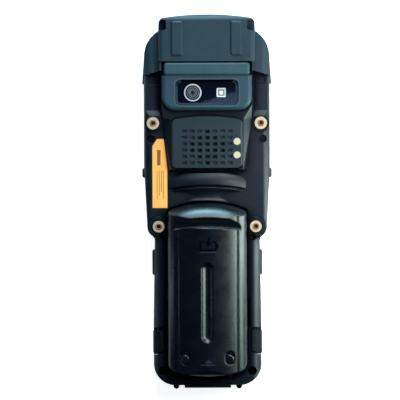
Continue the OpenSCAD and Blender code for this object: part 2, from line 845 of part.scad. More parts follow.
// what the bottom bumper takes away from the housings' lower end
module bumper_room() {
    difference() {
        translate([-far, y_end - 5, -1]) cube([2*far, cap_y - y_end + 5, far]);
        at_z(cap_t, handle_z - cap_t) handle_plan(cap_t);
    }
}

// ---------------------------------------------------------------- front housing

module front_form(t = 0) {
    z1 = parting_z + (t > 0 ? 1 : 0);
    intersection() {
        at_z(t, z1) union() {
            head_plan(t, bumper_y);
            intersection() {
                core_plan(-t);
                translate([-far, bumper_y - 3]) square(4*far);
            }
        }
        along_y(lower_insert_y - far, y_top)
            translate([0, z1 + 1]) mirror([0, 1]) round_top(head_w/2 - t, 0, z1 + 1 - t, 2.4);
    }
    intersection() {
        at_z(handle_step + t, z1) handle_plan(t);
        along_y(y_end - 1, lower_insert_y + 1)
            translate([0, z1 + 1]) mirror([0, 1]) round_top(handle_w/2 - t, 0, z1 + 1 - t - handle_step, 2.4);
    }
    both() at_z(handle_step + 2, z1) neck_fillet(t);
}

// stations and sizes on the front, the keypad from the lower end up
fn_w = 6.4;
fn_len = 9;
fn_x = nav_w/2 + 5.1;
power_w = 9;
power_len = 4.4;
power_y = y_end + keypad_end;
row_y = power_y + 4*key_dy - 1.4;
nav_y = row_y + key_len/2 + nav_gap + nav_len/2;
fn_y = nav_y - 6.4;
display_len = y_top - display_drop - display_gap - nav_y - nav_len/2;
display_mid = y_top - display_drop - display_len/2;
lcd_w = display_w - 5;
lcd_len = display_len - 8;
earpiece_y = y_top - (display_drop + bumper_t + 2.1)/2 - 0.6;

// middle of the number key in column c and row r
function key_at(c, r) = [(c - 1)*key_dx, row_y - r*key_dy];

module key_holes() {
    g = 2*run_gap;
    translate([0, nav_y]) round_plate(nav_w + g, nav_len + g, 8);
    for (s = [-1, 1]) translate([s*fn_x, fn_y]) round_plate(fn_w + g, fn_len + g, 2.4);
    for (c = [0:2], r = [0:3]) translate(key_at(c, r)) round_plate(key_w + g, key_len + g, 2.4);
    translate([0, power_y]) round_plate(power_w + g, power_len + g, 2.3);
}

module front_housing() {
    color("#1b2026")
    difference() {
        union() {
            difference() {
                front_form();
                front_form(wall);
            }
            intersection() {
                front_form();
                union() {
                    // frame round the display
                    at_z(0.4, display_sink + display_t + 1.2) translate([0, display_mid])
                        round_plate(display_w + 2.6, display_len + 3, 4);
                    screw_columns(2.6, 1, parting_z);
                    // posts under the main board
                    for (s = [-1, 1], y = board_posts()) translate([s*y[0], y[1], 1])
                        cylinder(r = post_r, h = board_z0 - 1);
                }
            }
        }
        // display
        at_z(-1, display_sink + display_t) translate([0, display_mid])
            round_plate(display_w + 2*seat_gap, display_len + 2*seat_gap, 3.4);
        at_z(-1, parting_z + 1) translate([0, display_mid])
            round_plate(lcd_w + 2*seat_gap, lcd_len + 2*seat_gap, 1);
        at_z(-1, front_in_z + 0.5) key_holes();
        screw_columns(screw_d/2 - 0.1, 3.4, far);
        // earpiece, status light and microphone
        translate([0, earpiece_y, -1]) linear_extrude(5) round_plate(13, 1.8, 0.89);
        translate([18, earpiece_y, -1]) cylinder(r = 1.2 + seat_gap, h = 5);
        translate([0, y_end + 7, -1]) cylinder(r = 0.6, h = 5);
        bumper_room();
        for (s = [0, 1]) mirror([s, 0, 0])
            translate([bay_w/2 + tub_t + 0.2, flap_y - 5, parting_z - 0.4]) cube([far, 10, 4]);
        translate([-8.4, y_end - 1, parting_z - 0.4]) cube([16.8, end_r - 4, 4.4]);
    }
}

// posts under the main board, clear of the keys
post_r = 1.3;
function board_posts() = [[19.4, core_top_y - 4.2], [23.9, row_y + 6.9], [23.9, y_end + 14.5]];

// ---------------------------------------------------------------- bumpers

module top_bumper() {
    g = seat_gap;
    color("#2c3a44")
    difference() {
        union() {
            intersection() {
                at_z(0.4, shoulder_z) shoulder_plan();
                along_y(bumper_y - 1, y_top) difference() {
                    round_top(shoulder_w/2, 0.4, shoulder_z, 5.5);
                    translate([-far, -1]) square([far - shoulder_w/2 + 1.2, 2.6]);
                    translate([shoulder_w/2 - 1.2, -1]) square([far, 2.6]);
                }
            }
            difference() {
                intersection() {
                    at_z(0.4, hood_z) hood_plan();
                    along_y(bumper_back_y, y_top) round_top(hood_w/2, 0.4, hood_z, 2.6);
                    along_x(-far, far) hood_side();
                }
                // the hood ends at its lower seam
                translate([-far, bumper_back_y - 1, core_z]) cube([2*far, hood_y - bumper_back_y + 1, far]);
            }
            for (s = [-1, 1]) translate([s*rib_x, y_top - 3.6 - rib_len/2, hood_z - eps - 0.6])
                soft_slab(rib_w, rib_len, rib_h + 0.6 + eps, 1.2, 0.9);
            // arms beside the brow bar
            for (s = [-1, 1]) translate([s*(hood_w/2 - 1.1) - 0.5, brow_y0 - 0.4, spine_z + 0.1])
                cube([1, hood_y - brow_y0 + 0.4 + eps, hood_z - spine_z - 1.6]);
        }
        // cores of the housings
        at_z(-1, core_z + g) core_plan(g);
        at_z(0, hood_core_z + g) translate([-hood_core_w/2 - g, bumper_y])
            square([hood_core_w + 2*g, core_top_y - bumper_y + g]);
        // the back of the head below the bumper's back seam
        at_z(lip_z, far) seam_plan();
        // the spine under the brow bar
        translate([-spine_head_w/2 - g, bumper_y - 1, core_z])
            cube([spine_head_w + 2*g, hood_y - bumper_y + 1, spine_z - core_z - 0.3]);
        // side notches
        both() translate([hood_w/2 - notch_w, shoulder_y - 0.6, parting_z + 4]) linear_extrude(far)
            polygon([[0, 1.4], [notch_w + 1, 0], [notch_w + 1, notch_len], [0.8, notch_len],
                     [0, notch_len - 1]]);
        // reading window
        at_hood_end(core_top_y - 1, y_top + 1) round_plate(36, 11, 2);
    }
}

// side view of the hood, rounded at the top end
module hood_side() {
    l = y_top - bumper_back_y + 10;
    translate([y_top - l/2, 0]) difference() {
        round_top(l/2, 0.4, hood_z, 3.4);
        translate([l/2 - 1.4, -1]) square([3, 2.8]);
    }
}

module bottom_bumper() {
    g = seat_gap;
    color("#14181d")
    difference() {
        union() {
            intersection() {
                at_z(0, handle_z) handle_plan();
                along_y(y_end - 1, cap_y - 0.1) intersection() {
                    round_top(handle_w/2, 0, handle_z, 5);
                    translate([0, handle_z]) mirror([0, 1]) round_top(handle_w/2, 0, handle_z, 1.6);
                }
            }
            // strap lugs
            for (s = [-1, 1]) translate([s*17.3, y_end - lug_proud + 1.6, 6]) cylinder(r = 1.6, h = 11);
        }
        difference() {
            translate([-far, y_end - 5, cap_t - g]) cube([2*far, far, handle_z - 2*cap_t + 2*g]);
            difference() {
                translate([-far, y_end - 6, 0]) cube([2*far, far, far]);
                at_z(0, far) handle_plan(cap_t - g);
            }
        }
        // battery bay and the catches for its latches
        at_z(ledge_z, far) bay_plan();
        for (s = [-1, 1]) translate([s*latch_x - 2, cover_y0 - seam - 0.9, seat_z - 0.2]) cube([4, 3, far]);
        // strap holes
        for (s = [-1, 1]) translate([s*hole_x, hole_y, handle_z - 9]) cylinder(d = hole_d, h = 19);
        // front face opening
        translate([0, cap_y, -1]) linear_extrude(far/6) round_plate(handle_w - 9, 2*(cap_y - y_end) - 9, 8);
        // dock port and its cover
        translate([-8.4, y_end - 1, parting_z - 0.4]) cube([16.8, 6, 3.8]);
        translate([-dock_w/2 - run_gap, y_end - 5, dock_z0() - 2])
            cube([dock_w + 2*run_gap, 5 + dock_in(), far]);
        translate([0, y_end + 7, -1]) cylinder(r = 0.9, h = 4);
    }
}

function dock_z0() = 5.4;
function dock_in() = 1.35;

// ---------------------------------------------------------------- brow and camera

module brow_bar() {
    color("#3a4b57")
    translate([0, (brow_y0 + brow_y1)/2, spine_z])
        soft_slab(brow_w, brow_len, brow_z - spine_z, 1.6, 1.3);
}

module camera_frame() {
    mid = (frame_y0 + frame_y1)/2;
    h = frame_z - spine_z;
    color("#333f4a")
    difference() {
        translate([0, mid + frame_r/2, spine_z]) soft_slab(frame_w, frame_len + frame_r, h, frame_r, 2.2);
        translate([-far, frame_y1 - seat_gap, 0]) cube(2*far);
        translate([0, mid, frame_z - window_t - 0.3]) linear_extrude(9)
            round_plate(window_w + 2*seat_gap, window_len + 2*seat_gap, window_r);
        translate([0, mid, spine_z - 1]) linear_extrude(9)
            round_plate(window_w - 3, window_len - 3, window_r - 1);
    }
}

module camera_window() {
    color("#0d1528", 0.6)
    translate([0, (frame_y0 + frame_y1)/2, frame_z - window_t - 0.3])
        linear_extrude(window_t) round_plate(window_w, window_len, window_r);
}

module camera_module() {
    z1 = frame_z - window_t - 0.5;
    r = lens_d/2;
    color("#c9ced4")
    translate([-lens_x, (frame_y0 + frame_y1)/2, 0]) rotate_extrude()
        polygon([[0, board_z1], [r - 1.2, board_z1], [r - 1.2, z1 - 4], [r, z1 - 3.4], [r, z1 - 0.2],
                 [r - 0.2, z1], [r - 1, z1], [r - 1.3, z1 - 0.5], [r - 1.8, z1 - 0.6], [r - 2.2, z1 - 0.3],
                 [r - 2.6, z1 - 0.3], [1.2, z1 - 1.4], [0, z1 - 1.2]]);
}

module flash_led() {
    z1 = frame_z - window_t - 0.6;
    color("#f0f4ee")
    translate([flash_x, (frame_y0 + frame_y1)/2, board_z1]) difference() {
        union() {
            translate([-1.6, -1.6, 0]) cube([3.2, 3.2, z1 - board_z1 - 1]);
            translate([0, 0, z1 - board_z1 - 1.6]) soft_slab(flash_side, flash_side, 1.6, 0.7, 0.3);
        }
        translate([0, 0, z1 - board_z1]) cube([flash_side - 2, flash_side - 2, 1.2], center = true);
    }
}

// ---------------------------------------------------------------- speaker

module pad_plan(g = 0) {
    translate([0, pad_y0]) intersection() {
        arch_top(pad_w/2 + g, -g - 1, pad_len + g - 0.6, pad_arc_r, 3.4);
        translate([0, pad_len/2 + 4]) round_plate(pad_w + 2*g, pad_len + 8 + 2*g, 3.4);
    }
}

// sound holes in each row of the grille
function holes_in(row) = [0, 1, 2, 2, 1, 0][row];

module speaker_cover() {
    z1 = spine_z + pad_proud;
    y0 = grille_y - 2.5*grille_dy;
    color("#2a333d")
    difference() {
        intersection() {
            at_z(spine_z - 0.8, z1) pad_plan();
            along_y(pad_y0 - 1, pad_y1 + 1) round_top(pad_w/2, spine_z - 2, z1, 1.3);
        }
        for (r = [0:5]) translate([0, y0 + (5 - r)*grille_dy, 0]) {
            for (c = [-3:3]) translate([c*grille_dx - grille_groove/2, -grille_hole/2, z1 - grille_depth])
                cube([grille_groove, grille_hole, 2]);
            for (c = [-holes_in(r):holes_in(r)])
                translate([c*grille_dx, 0, z1 - 1]) cube([grille_hole, grille_hole, far/8], center = true);
        }
        for (s = [-1, 1]) translate([contact_x, contact_y + s*contact_pitch/2, z1 - 1])
            cylinder(d = contact_d, h = 2);
    }
}

module speaker() {
    z1 = spine_z - 0.8;
    color("#101418")
    translate([0, speaker_y, 0]) {
        translate([0, 0, z1 - 5.6]) linear_extrude(5.6) round_plate(28, 23, 5);
        translate([0, 0, z1 - 8.6]) cylinder(r = 8, h = 3);
        for (s = [-1, 1]) translate([s*12 - 1, -1, board_z1]) cube([2, 2, z1 - 5.6 - board_z1]);
    }
}

module charge_contacts() {
    z1 = spine_z + pad_proud;
    color("#e6cf8a")
    for (s = [-1, 1]) translate([contact_x, contact_y + s*contact_pitch/2, z1 - 1])
        cylinder(d = contact_d, h = 1.15);
}

// ---------------------------------------------------------------- inserts, screws, label

module grip_insert(flange_d) {
    z1 = head_z + 0.4;
    color("#cfc4b4")
    translate([0, 0, z1]) difference() {
        union() {
            cylinder(d = flange_d, h = flange_t);
            translate([0, 0, -barrel_len + 0.2]) cylinder(d = barrel_d, h = barrel_len);
        }
        translate([0, 0, 0.4 - barrel_len]) cylinder(r = insert_hole_r, h = far);
        translate([0, 0, flange_t - 0.35]) cylinder(r1 = insert_hole_r, r2 = insert_hole_r + 0.36, h = 0.36);
    }
}

module grip_inserts() {
    for (s = [-1, 1]) {
        translate([s*upper_ix, upper_insert_y, 0]) grip_insert(upper_flange_d);
        translate([s*lower_ix, lower_insert_y, 0]) grip_insert(lower_flange_d);
    }
}

module case_screw(z1) {
    translate([0, 0, z1]) difference() {
        union() {
            cylinder(d = screw_head_d, h = screw_head_t);
            translate([0, 0, 3.6 - z1]) cylinder(d = screw_d - 0.3, h = z1 - 3.6 + eps);
        }
        translate([0, 0, screw_head_t - 0.8]) cylinder(d = 1.7, h = 2, $fn = 6);
    }
}

module case_screws() {
    color("#2b2f33")
    for (s = [-1, 1]) {
        translate([s*upper_screw_x, upper_screw_y, 0]) case_screw(head_z - 2.6);
        translate([s*lower_screw_x, lower_screw_y, 0]) case_screw(handle_z - 2.6);
    }
}

module label_plate() {
    color("#dd9c4c")
    at_z(head_z - label_t - 0.1, head_z - 0.1) label_plan();
}

// ---------------------------------------------------------------- scan engine and display

module scan_window() {
    color("#3a0d12", 0.6)
    at_hood_end(core_top_y, core_top_y + 1.2) round_plate(34, 9.6, 1.6);
}

module scan_engine() {
    z0 = board_z1;
    color("#22303a")
    difference() {
        union() {
            translate([-12, shoulder_y - 10, z0]) cube([24, 8, 4]);
            translate([-14, shoulder_y - 12, z0 + 3]) cube([28, core_top_y - wall - shoulder_y + 11, 12]);
        }
        at_hood_end(core_top_y - wall - 6, core_top_y) round_plate(9, 6, 1);
        translate([9, 0, 0]) at_hood_end(core_top_y - wall - 3, core_top_y) circle(2);
    }
}

module display_window() {
    color("#06080c")
    at_z(display_sink, display_sink + display_t) translate([0, display_mid])
        round_plate(display_w, display_len, 3.4);
}

module lcd_module() {
    color("#1e2a33")
    at_z(display_sink + display_t, board_z0) translate([0, display_mid]) round_plate(lcd_w, lcd_len, 1);
}

module earpiece_mesh() {
    color("#0c0f12")
    translate([0, earpiece_y, 1]) difference() {
        linear_extrude(1) round_plate(13, 1.8, 0.89);
        for (k = [-6:6]) translate([k*0.9, 0, -1]) cylinder(r = 0.28, h = 3);
    }
}

module status_lens() {
    color("#6fae5a", 0.7)
    translate([18, earpiece_y, 0.2]) cylinder(r = 1.2, h = wall + 0.2);
}

// ---------------------------------------------------------------- electronics

module board_plan() {
    w1 = 2*(upper_screw_x - 3);
    w2 = 2*(lower_screw_x - 3.2);
    w3 = handle_w - 2*wall - 2.4;
    translate([-w1/2, lower_insert_y + 6]) square([w1, core_top_y - wall - lower_insert_y - 7]);
    translate([-w2/2, lower_screw_y - 4]) square([w2, lower_insert_y - lower_screw_y + 12]);
    translate([-w3/2, y_end + 7]) square([w3, lower_screw_y - y_end - 11]);
    translate([-10, y_end + 5]) square([20, 4]);
}

// chips on the main board: middle across and along the terminal, width and length
chips = [[-10, cover_y1 - 2.2, 13, 13], [8, cover_y1 + 1.8, 10, 12],
         [-8, neck_y - 22.8, 14, 12], [9, neck_y - 24.8, 9, 9]];
chip_t = 1.4;

module main_board() {
    color("#1f4a35")
    at_z(board_z0, board_z1) intersection() {
        board_plan();
        union() {
            handle_plan(wall + 2.6);
            translate([-far, lower_screw_y - 5]) square([2*far, bumper_y - lower_screw_y + 9]);
            core_plan(-wall - 0.4);
        }
    }
    color("#8d949b")
    for (p = chips) translate([p[0] - p[2]/2, p[1] - p[3]/2, board_z1]) cube([p[2], p[3], chip_t]);
}

mat_inset = 5;
mat_rim = 1;

module keypad_mat() {
    z0 = front_in_z + key_flange_t + key_travel + seat_gap;
    w = handle_w - 2*wall - 2*mat_inset;
    y1 = nav_y + nav_len/2 + mat_rim;
    y0 = power_y - power_len/2 - mat_rim;
    color("#3c4248")
    at_z(z0, board_z0) translate([-w/2, y0]) square([w, y1 - y0]);
}

switch_len = 6;
switch_t = 2.1;

// inner face of the switch behind a side button at x, with a little more room than its travel
function switch_x(x, stem) = x - wall - button_in - button_flange - stem - side_travel - 0.2 - switch_t;

module side_switches() {
    h = side_z() - board_z1 + 2;
    color("#9aa1a8")
    for (s = [0, 1]) mirror([s, 0, 0]) {
        translate([switch_x(upper_button_x, upper_stem), button_y - switch_len/2, board_z1])
            cube([switch_t, switch_len, h]);
        translate([switch_x(trigger_x, trigger_stem), trigger_y - switch_len/2, board_z1])
            cube([switch_t, switch_len, h]);
    }
}

module usb_socket() {
    color("#b9bec4")
    translate([handle_w/2 - flap_t - 7.6, flap_y, board_z1]) difference() {
        translate([0, -3.9, 0]) cube([7, 7.8, 2.7]);
        translate([1.2, -3.3, 0.4]) cube([7, 6.6, 1.9]);
    }
}

module card_socket() {
    color("#b9bec4")
    translate([-(handle_w/2 - flap_t - 0.6), flap_y, board_z1]) difference() {
        translate([0, -4.8, 0]) cube([6.2, 9.6, 1.9]);
        translate([-1, -4.3, 0.4]) cube([6, 8.6, 1]);
    }
}

module dock_connector() {
    color("#2a2f34")
    difference() {
        translate([-8, y_end + cap_t + 0.3, board_z1]) cube([16, 6, 3]);
        for (k = [-5:5]) translate([k*1.3 - 0.35, y_end + cap_t - 1, board_z1 + 1.1]) cube([0.7, 3, 0.8]);
    }
}

module bay_contacts() {
    color("#d8b866")
    for (k = [-1:1]) translate([k*4, cover_y1 - 18, board_z1]) cylinder(r = 0.8, h = tray_z - board_z1);
}

// ---------------------------------------------------------------- battery pack

// outer form of the cover
module cover_form() {
    l = cover_len + 40;
    intersection() {
        at_z(seat_z, cover_z + 1) cover_plan();
        along_y(cover_y0, cover_y1) arch_top(cover_w/2, seat_z, cover_z, crown_r, crown_fillet);
        translate([0, cover_y1 - cover_arc_r, 0]) rotate_extrude($fn = 360) intersection() {
            round_top(cover_arc_r, seat_z - 1, cover_z + 0.3, roll_r, $fn = 144);
            square([far, far]);
        }
        along_x(-far, far) translate([cover_y0 + l/2, 0]) round_top(l/2, seat_z - 1, cover_z, cover_low_r);
    }
}

// finger scoop below the roll, bent like the cover's top end
module scoop() {
    floor_r = scoop_depth + 0.2;
    flat = scoop_len - floor_r;
    translate([0, cover_y1 - scoop_drop - scoop_arc_r, cover_z - scoop_depth])
        rotate_extrude($fn = 360) translate([scoop_arc_r, 0]) {
            polygon([[0, 0], [flat, 0], [flat, 2*floor_r], [-0.28*floor_r, 2*floor_r]]);
            intersection() {
                translate([flat, floor_r]) circle(floor_r, $fn = 96);
                translate([flat - eps, 0]) square([far, 2*floor_r]);
            }
        }
}

module battery_cover() {
    wall_in = cover_t + 0.8;
    color("#1d252d")
    difference() {
        union() {
            cover_form();
            along_pivot() cylinder(r = pivot_r, h = cover_w + 3.8, center = true);
        }
        scoop();
        // groove down the middle
        cover_groove();
        // room for the cell and the tray's flange
        at_z(seat_z - 2, seat_z + 1.2) intersection() {
            cover_plan(-cover_t);
            translate([-far, cover_y0]) square([2*far, cover_len - 17.4]);
        }
        difference() {
            intersection() {
                along_y(cover_y0 + 4.1, cover_y1 - 18)
                    arch_top(cover_w/2 - wall_in, seat_z, cover_z - cover_t, crown_r - cover_t,
                             crown_fillet - cover_t);
                at_z(seat_z, far) cover_plan(-wall_in);
            }
            translate([-groove_w/2 - 1.4, cover_y0, cover_z - groove_depth - cover_t])
                cube([groove_w + 2.8, cover_len, far]);
            // ribs that hold the latch springs
            for (s = [-1, 1]) translate([s*latch_x - 3, cover_y0 + 19, tray_z + 1.2 + cell_t + 0.2])
                cube([6, 1.4, far]);
        }
        for (s = [-1, 1]) translate([s*latch_x, latch_y + latch_travel/2, tray_z + 1.2 + cell_t])
            linear_extrude(far) round_plate(latch_w + 2*run_gap, latch_len + latch_travel + 2*run_gap,
                                            latch_w/2 + run_gap - eps);
        for (s = [-1, 1]) translate([s*latch_x - 1.8, cover_y0 - 1, seat_z + 0.1]) cube([3.6, 5.4, 1.6]);
    }
}

module cover_groove() {
    r = (pow(groove_w/2, 2) + pow(groove_depth, 2))/(2*groove_depth);
    l = groove_len/2 - groove_w/2;
    translate([0, groove_y, cover_z - groove_depth + r]) {
        rotate([90, 0, 0]) cylinder(r = r, h = 2*l, center = true);
        for (s = [-1, 1]) translate([0, s*l, 0]) sphere(r);
    }
}

module battery_base() {
    t = 1.2;
    color("#15191e")
    difference() {
        union() {
            at_z(tray_z, seat_z) base_plan(base_w, 0);
            at_z(seat_z, seat_z + 1.2) intersection() {
                cover_plan(-cover_t - seat_gap);
                translate([-far, cover_y0 + 4]) square([2*far, cover_len - 21.6]);
            }
        }
        at_z(tray_z + t, far) translate([0, cell_y]) round_plate(cell_w + 0.4, cell_len + 0.4, 0.5);
        for (s = [-1, 1]) translate([s*latch_x - 2, cover_y0 - 1, seat_z - eps]) cube([4, 9.6, 9]);
        for (k = [-1:1]) translate([k*4, cover_y1 - 18, tray_z - 1]) cylinder(r = 1.3, h = 1.4);
    }
}

module battery_cell() {
    color("#3f6f8f")
    translate([0, cell_y, tray_z + 1.2]) rotate([90, 0, 0]) translate([0, 0, -cell_len/2])
        linear_extrude(cell_len) translate([0, cell_t/2]) round_plate(cell_w, cell_t, 4);
}

module battery_pads() {
    color("#d8b866")
    for (k = [-1:1]) translate([k*4, cover_y1 - 18, tray_z]) cylinder(r = 1.25, h = 0.4);
}

// ---------------------------------------------------------------- latches

module latch() {
    z0 = tray_z + 1.2 + cell_t + 0.3;
    y0 = cover_y0 + 4.4;
    color("#2a323a")
    translate([latch_x, 0, 0]) {
        translate([0, latch_y, z0 + 1.2 - eps]) soft_slab(latch_w, latch_len, 2.7, latch_w/2 - 0.1, 0.6);
        translate([-2.7, y0, z0]) cube([5.4, latch_y + latch_len/2 - y0, 1.2]);
        translate([-1.5, y0, seat_z + 0.3]) cube([3, 1.8, z0 - seat_z]);
        translate([-1.5, cover_y0 - 1, seat_z + 0.3]) cube([3, 5.6, 1.1]);
    }
}

module latch_right() {
    latch();
}

module latch_left() {
    mirror([1, 0, 0]) latch();
}

// flat zigzag spring between a latch and its rib
module latch_spring() {
    z0 = tray_z + 1.2 + cell_t + 0.3;
    y0 = latch_y + latch_len/2;
    y1 = cover_y0 + 19;
    n = 8;
    p = (y1 - y0)/n;
    function side(k) = k % 2 == 0 ? -1.6 : 1.6;
    color("#aab0b6")
    translate([latch_x, y0, z0 + 0.1]) linear_extrude(0.9)
        polygon(concat([for (k = [0:n]) [side(k) - 0.5, k*p]], [for (k = [n:-1:0]) [side(k) + 0.5, k*p]]));
}

module latch_spring_right() {
    latch_spring();
}

module latch_spring_left() {
    mirror([1, 0, 0]) latch_spring();
}

// ---------------------------------------------------------------- port covers

module side_flap() {
    hw = handle_w/2;
    reach = flap_len - bead_r - 2*run_gap;
    x0 = cover_w/2 + 2.2 + run_gap;
    color("#15191e")
    union() {
        intersection() {
            along_y(flap_y - flap_len/2 + run_gap, flap_hy) difference() {
                round_top(hw + flap_proud, parting_z + 0.3 + run_gap, handle_z + flap_proud, 5 + flap_proud);
                translate([0, parting_z - 1])
                    round_top(hw - flap_t + run_gap, 0, handle_z - parting_z - flap_t + run_gap + 1, 3.5);
            }
            translate([x0, flap_y - flap_len, 0]) cube([far, 2*flap_len, far]);
            translate([flap_hx, flap_hy, 0]) cylinder(r = reach, h = far);
        }
        translate([flap_hx, flap_hy, parting_z + 0.6]) cylinder(r = bead_r, h = handle_z - parting_z - 6);
    }
}

module right_flap() {
    side_flap();
}

module left_flap() {
    mirror([1, 0, 0]) side_flap();
}

module dock_flap() {
    y1 = y_end + dock_in();
    color("#14181d")
    union() {
        translate([0, y1 - dock_t, dock_z0()]) along_x(-dock_w/2, dock_w/2)
            polygon([[0, 0.6], [0.6, 0], [dock_t, 0], [dock_t, 14.6], [0.8, 14.6], [0, 13.8]]);
        translate([0, y1 - 0.95, dock_z0()]) rotate([0, 90, 0]) cylinder(r = 0.9, h = dock_w, center = true);
    }
}

// ---------------------------------------------------------------- side buttons

// side faces of the body where the buttons sit
taper = (head_w/2 - lower_ix - lower_boss_r)/(taper_y - lower_insert_y);
upper_button_x = head_w/2 - taper*(taper_y - button_y);
trigger_x = neck_w/2 + (handle_w - neck_w)/2*(neck_y - trigger_y)/(neck_y - belly_y);
upper_stem = 1.2;
trigger_stem = 0.4;
button_in = 0.6;
button_flange = 0.8;

// button at side face x, its flange inside the wall and its stem towards the switch
module side_button(x, y, len, stem) {
    h = wall + side_button_proud + button_in;
    color("#262e36")
    translate([x + side_button_proud, y, side_z()]) rotate([90, 0, 90]) {
        translate([0, 0, -h]) soft_slab(len, side_button_h, h, side_button_h/2 - 0.05, side_button_proud);
        translate([0, 0, -h - button_flange])
            linear_extrude(button_flange) round_plate(len + 2, side_button_h + 1.4, 2);
        translate([0, 0, -h - button_flange - stem]) cylinder(r = 1, h = stem + eps);
    }
}

module upper_right_button() {
    side_button(upper_button_x, button_y, upper_button_len, upper_stem);
}

module upper_left_button() {
    mirror([1, 0, 0]) upper_right_button();
}

module lower_right_trigger() {
    side_button(trigger_x, trigger_y, lower_button_len, trigger_stem);
}

module lower_left_trigger() {
    mirror([1, 0, 0]) lower_right_trigger();
}

// ---------------------------------------------------------------- keys

key_flange = 0.6;
key_flange_t = 0.8;

// key cap with a flange that holds it behind the front wall
module key_cap(w, l, r, top = handle_step - key_proud) {
    translate([0, 0, front_in_z]) mirror([0, 0, 1]) soft_slab(w, l, front_in_z - top, r, 0.6);
    translate([0, 0, front_in_z])
        linear_extrude(key_flange_t) round_plate(w + 2*key_flange, l + 2*key_flange, r);
}

module number_key(c, r) {
    color("#39424b")
    translate(key_at(c, r)) key_cap(key_w, key_len, 2.1);
}

module key_1() { number_key(0, 0); }
module key_2() { number_key(1, 0); }
module key_3() { number_key(2, 0); }
module key_4() { number_key(0, 1); }
module key_5() { number_key(1, 1); }
module key_6() { number_key(2, 1); }
module key_7() { number_key(0, 2); }
module key_8() { number_key(1, 2); }
module key_9() { number_key(2, 2); }
module key_star() { number_key(0, 3); }
module key_0() { number_key(1, 3); }
module key_hash() { number_key(2, 3); }

module key_esc() {
    color("#8a2f2a")
    translate([-fn_x, fn_y]) key_cap(fn_w, fn_len, 2.1);
}

module key_enter() {
    color("#2f6a44")
    translate([fn_x, fn_y]) key_cap(fn_w, fn_len, 2.1);
}

module key_power() {
    color("#8a2f2a")
    translate([0, power_y]) key_cap(power_w, power_len, 2.1);
}

module nav_ring() {
    r = scan_key_d/2 + run_gap;
    color("#2f363d")
    translate([0, nav_y, 0]) difference() {
        key_cap(nav_w, nav_len, 7.7);
        translate([0, 0, -1]) cylinder(r = r, h = 9);
        translate([0, 0, front_in_z - 0.6]) cylinder(r = r + 1, h = 9);
    }
}

module scan_key() {
    top = handle_step - key_proud - 0.05;
    r = scan_key_d/2;
    flange_z = front_in_z - 0.1;
    color("#c9912f")
    translate([0, nav_y, 0]) rotate_extrude() polygon([[0, top], [r - 0.6, top], [r - 0.2, top + 0.2],
        [r, top + 0.6], [r, flange_z], [r + 0.7, flange_z], [r + 0.7, flange_z + 0.8], [0, flange_z + 0.8]]);
}

front_housing();
rear_housing();
top_bumper();
bottom_bumper();
brow_bar();
camera_frame();
camera_window();
camera_module();
flash_led();
speaker_cover();
speaker();
charge_contacts();
grip_inserts();
case_screws();
label_plate();
scan_window();
scan_engine();
display_window();
lcd_module();
earpiece_mesh();
status_lens();
main_board();
keypad_mat();
side_switches();
usb_socket();
card_socket();
dock_connector();
bay_contacts();
battery_cover();
battery_base();
battery_cell();
battery_pads();
latch_left();
latch_right();
latch_spring_left();
latch_spring_right();
right_flap();
left_flap();
dock_flap();
upper_left_button();
upper_right_button();
lower_left_trigger();
lower_right_trigger();
scan_key();
nav_ring();
key_esc();
key_enter();
key_power();
key_1();
key_2();
key_3();
key_4();
key_5();
key_6();
key_7();
key_8();
key_9();
key_star();
key_0();
key_hash();
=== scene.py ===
"""Looks of the portable data terminal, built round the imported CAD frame.

Units are metres. The terminal lies on its display face, +Y points to its reading window and +Z to its back.
"""

import json
import math

import bmesh
import bpy
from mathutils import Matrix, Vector
from mathutils.bvhtree import BVHTree


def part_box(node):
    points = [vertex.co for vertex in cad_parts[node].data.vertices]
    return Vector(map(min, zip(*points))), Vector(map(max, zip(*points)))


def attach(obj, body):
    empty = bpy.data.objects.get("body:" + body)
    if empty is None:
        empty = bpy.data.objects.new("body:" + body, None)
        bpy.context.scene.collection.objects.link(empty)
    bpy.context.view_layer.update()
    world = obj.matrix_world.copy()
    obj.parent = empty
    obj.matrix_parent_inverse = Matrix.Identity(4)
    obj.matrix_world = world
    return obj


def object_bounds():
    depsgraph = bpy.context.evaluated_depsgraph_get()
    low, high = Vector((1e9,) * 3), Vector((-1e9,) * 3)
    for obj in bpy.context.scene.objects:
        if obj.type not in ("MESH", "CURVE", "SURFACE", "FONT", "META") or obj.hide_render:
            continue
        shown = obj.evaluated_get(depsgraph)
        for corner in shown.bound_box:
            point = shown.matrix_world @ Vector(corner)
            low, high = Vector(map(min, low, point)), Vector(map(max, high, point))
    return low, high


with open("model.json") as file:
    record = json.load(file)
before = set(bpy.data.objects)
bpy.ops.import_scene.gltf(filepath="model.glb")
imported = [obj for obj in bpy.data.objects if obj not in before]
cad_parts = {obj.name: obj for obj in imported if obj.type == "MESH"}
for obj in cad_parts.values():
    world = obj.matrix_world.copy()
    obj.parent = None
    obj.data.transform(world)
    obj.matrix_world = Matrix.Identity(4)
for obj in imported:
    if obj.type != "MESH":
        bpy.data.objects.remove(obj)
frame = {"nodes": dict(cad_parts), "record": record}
cad_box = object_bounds()

MM = 0.001


# ---------------------------------------------------------------- node trees

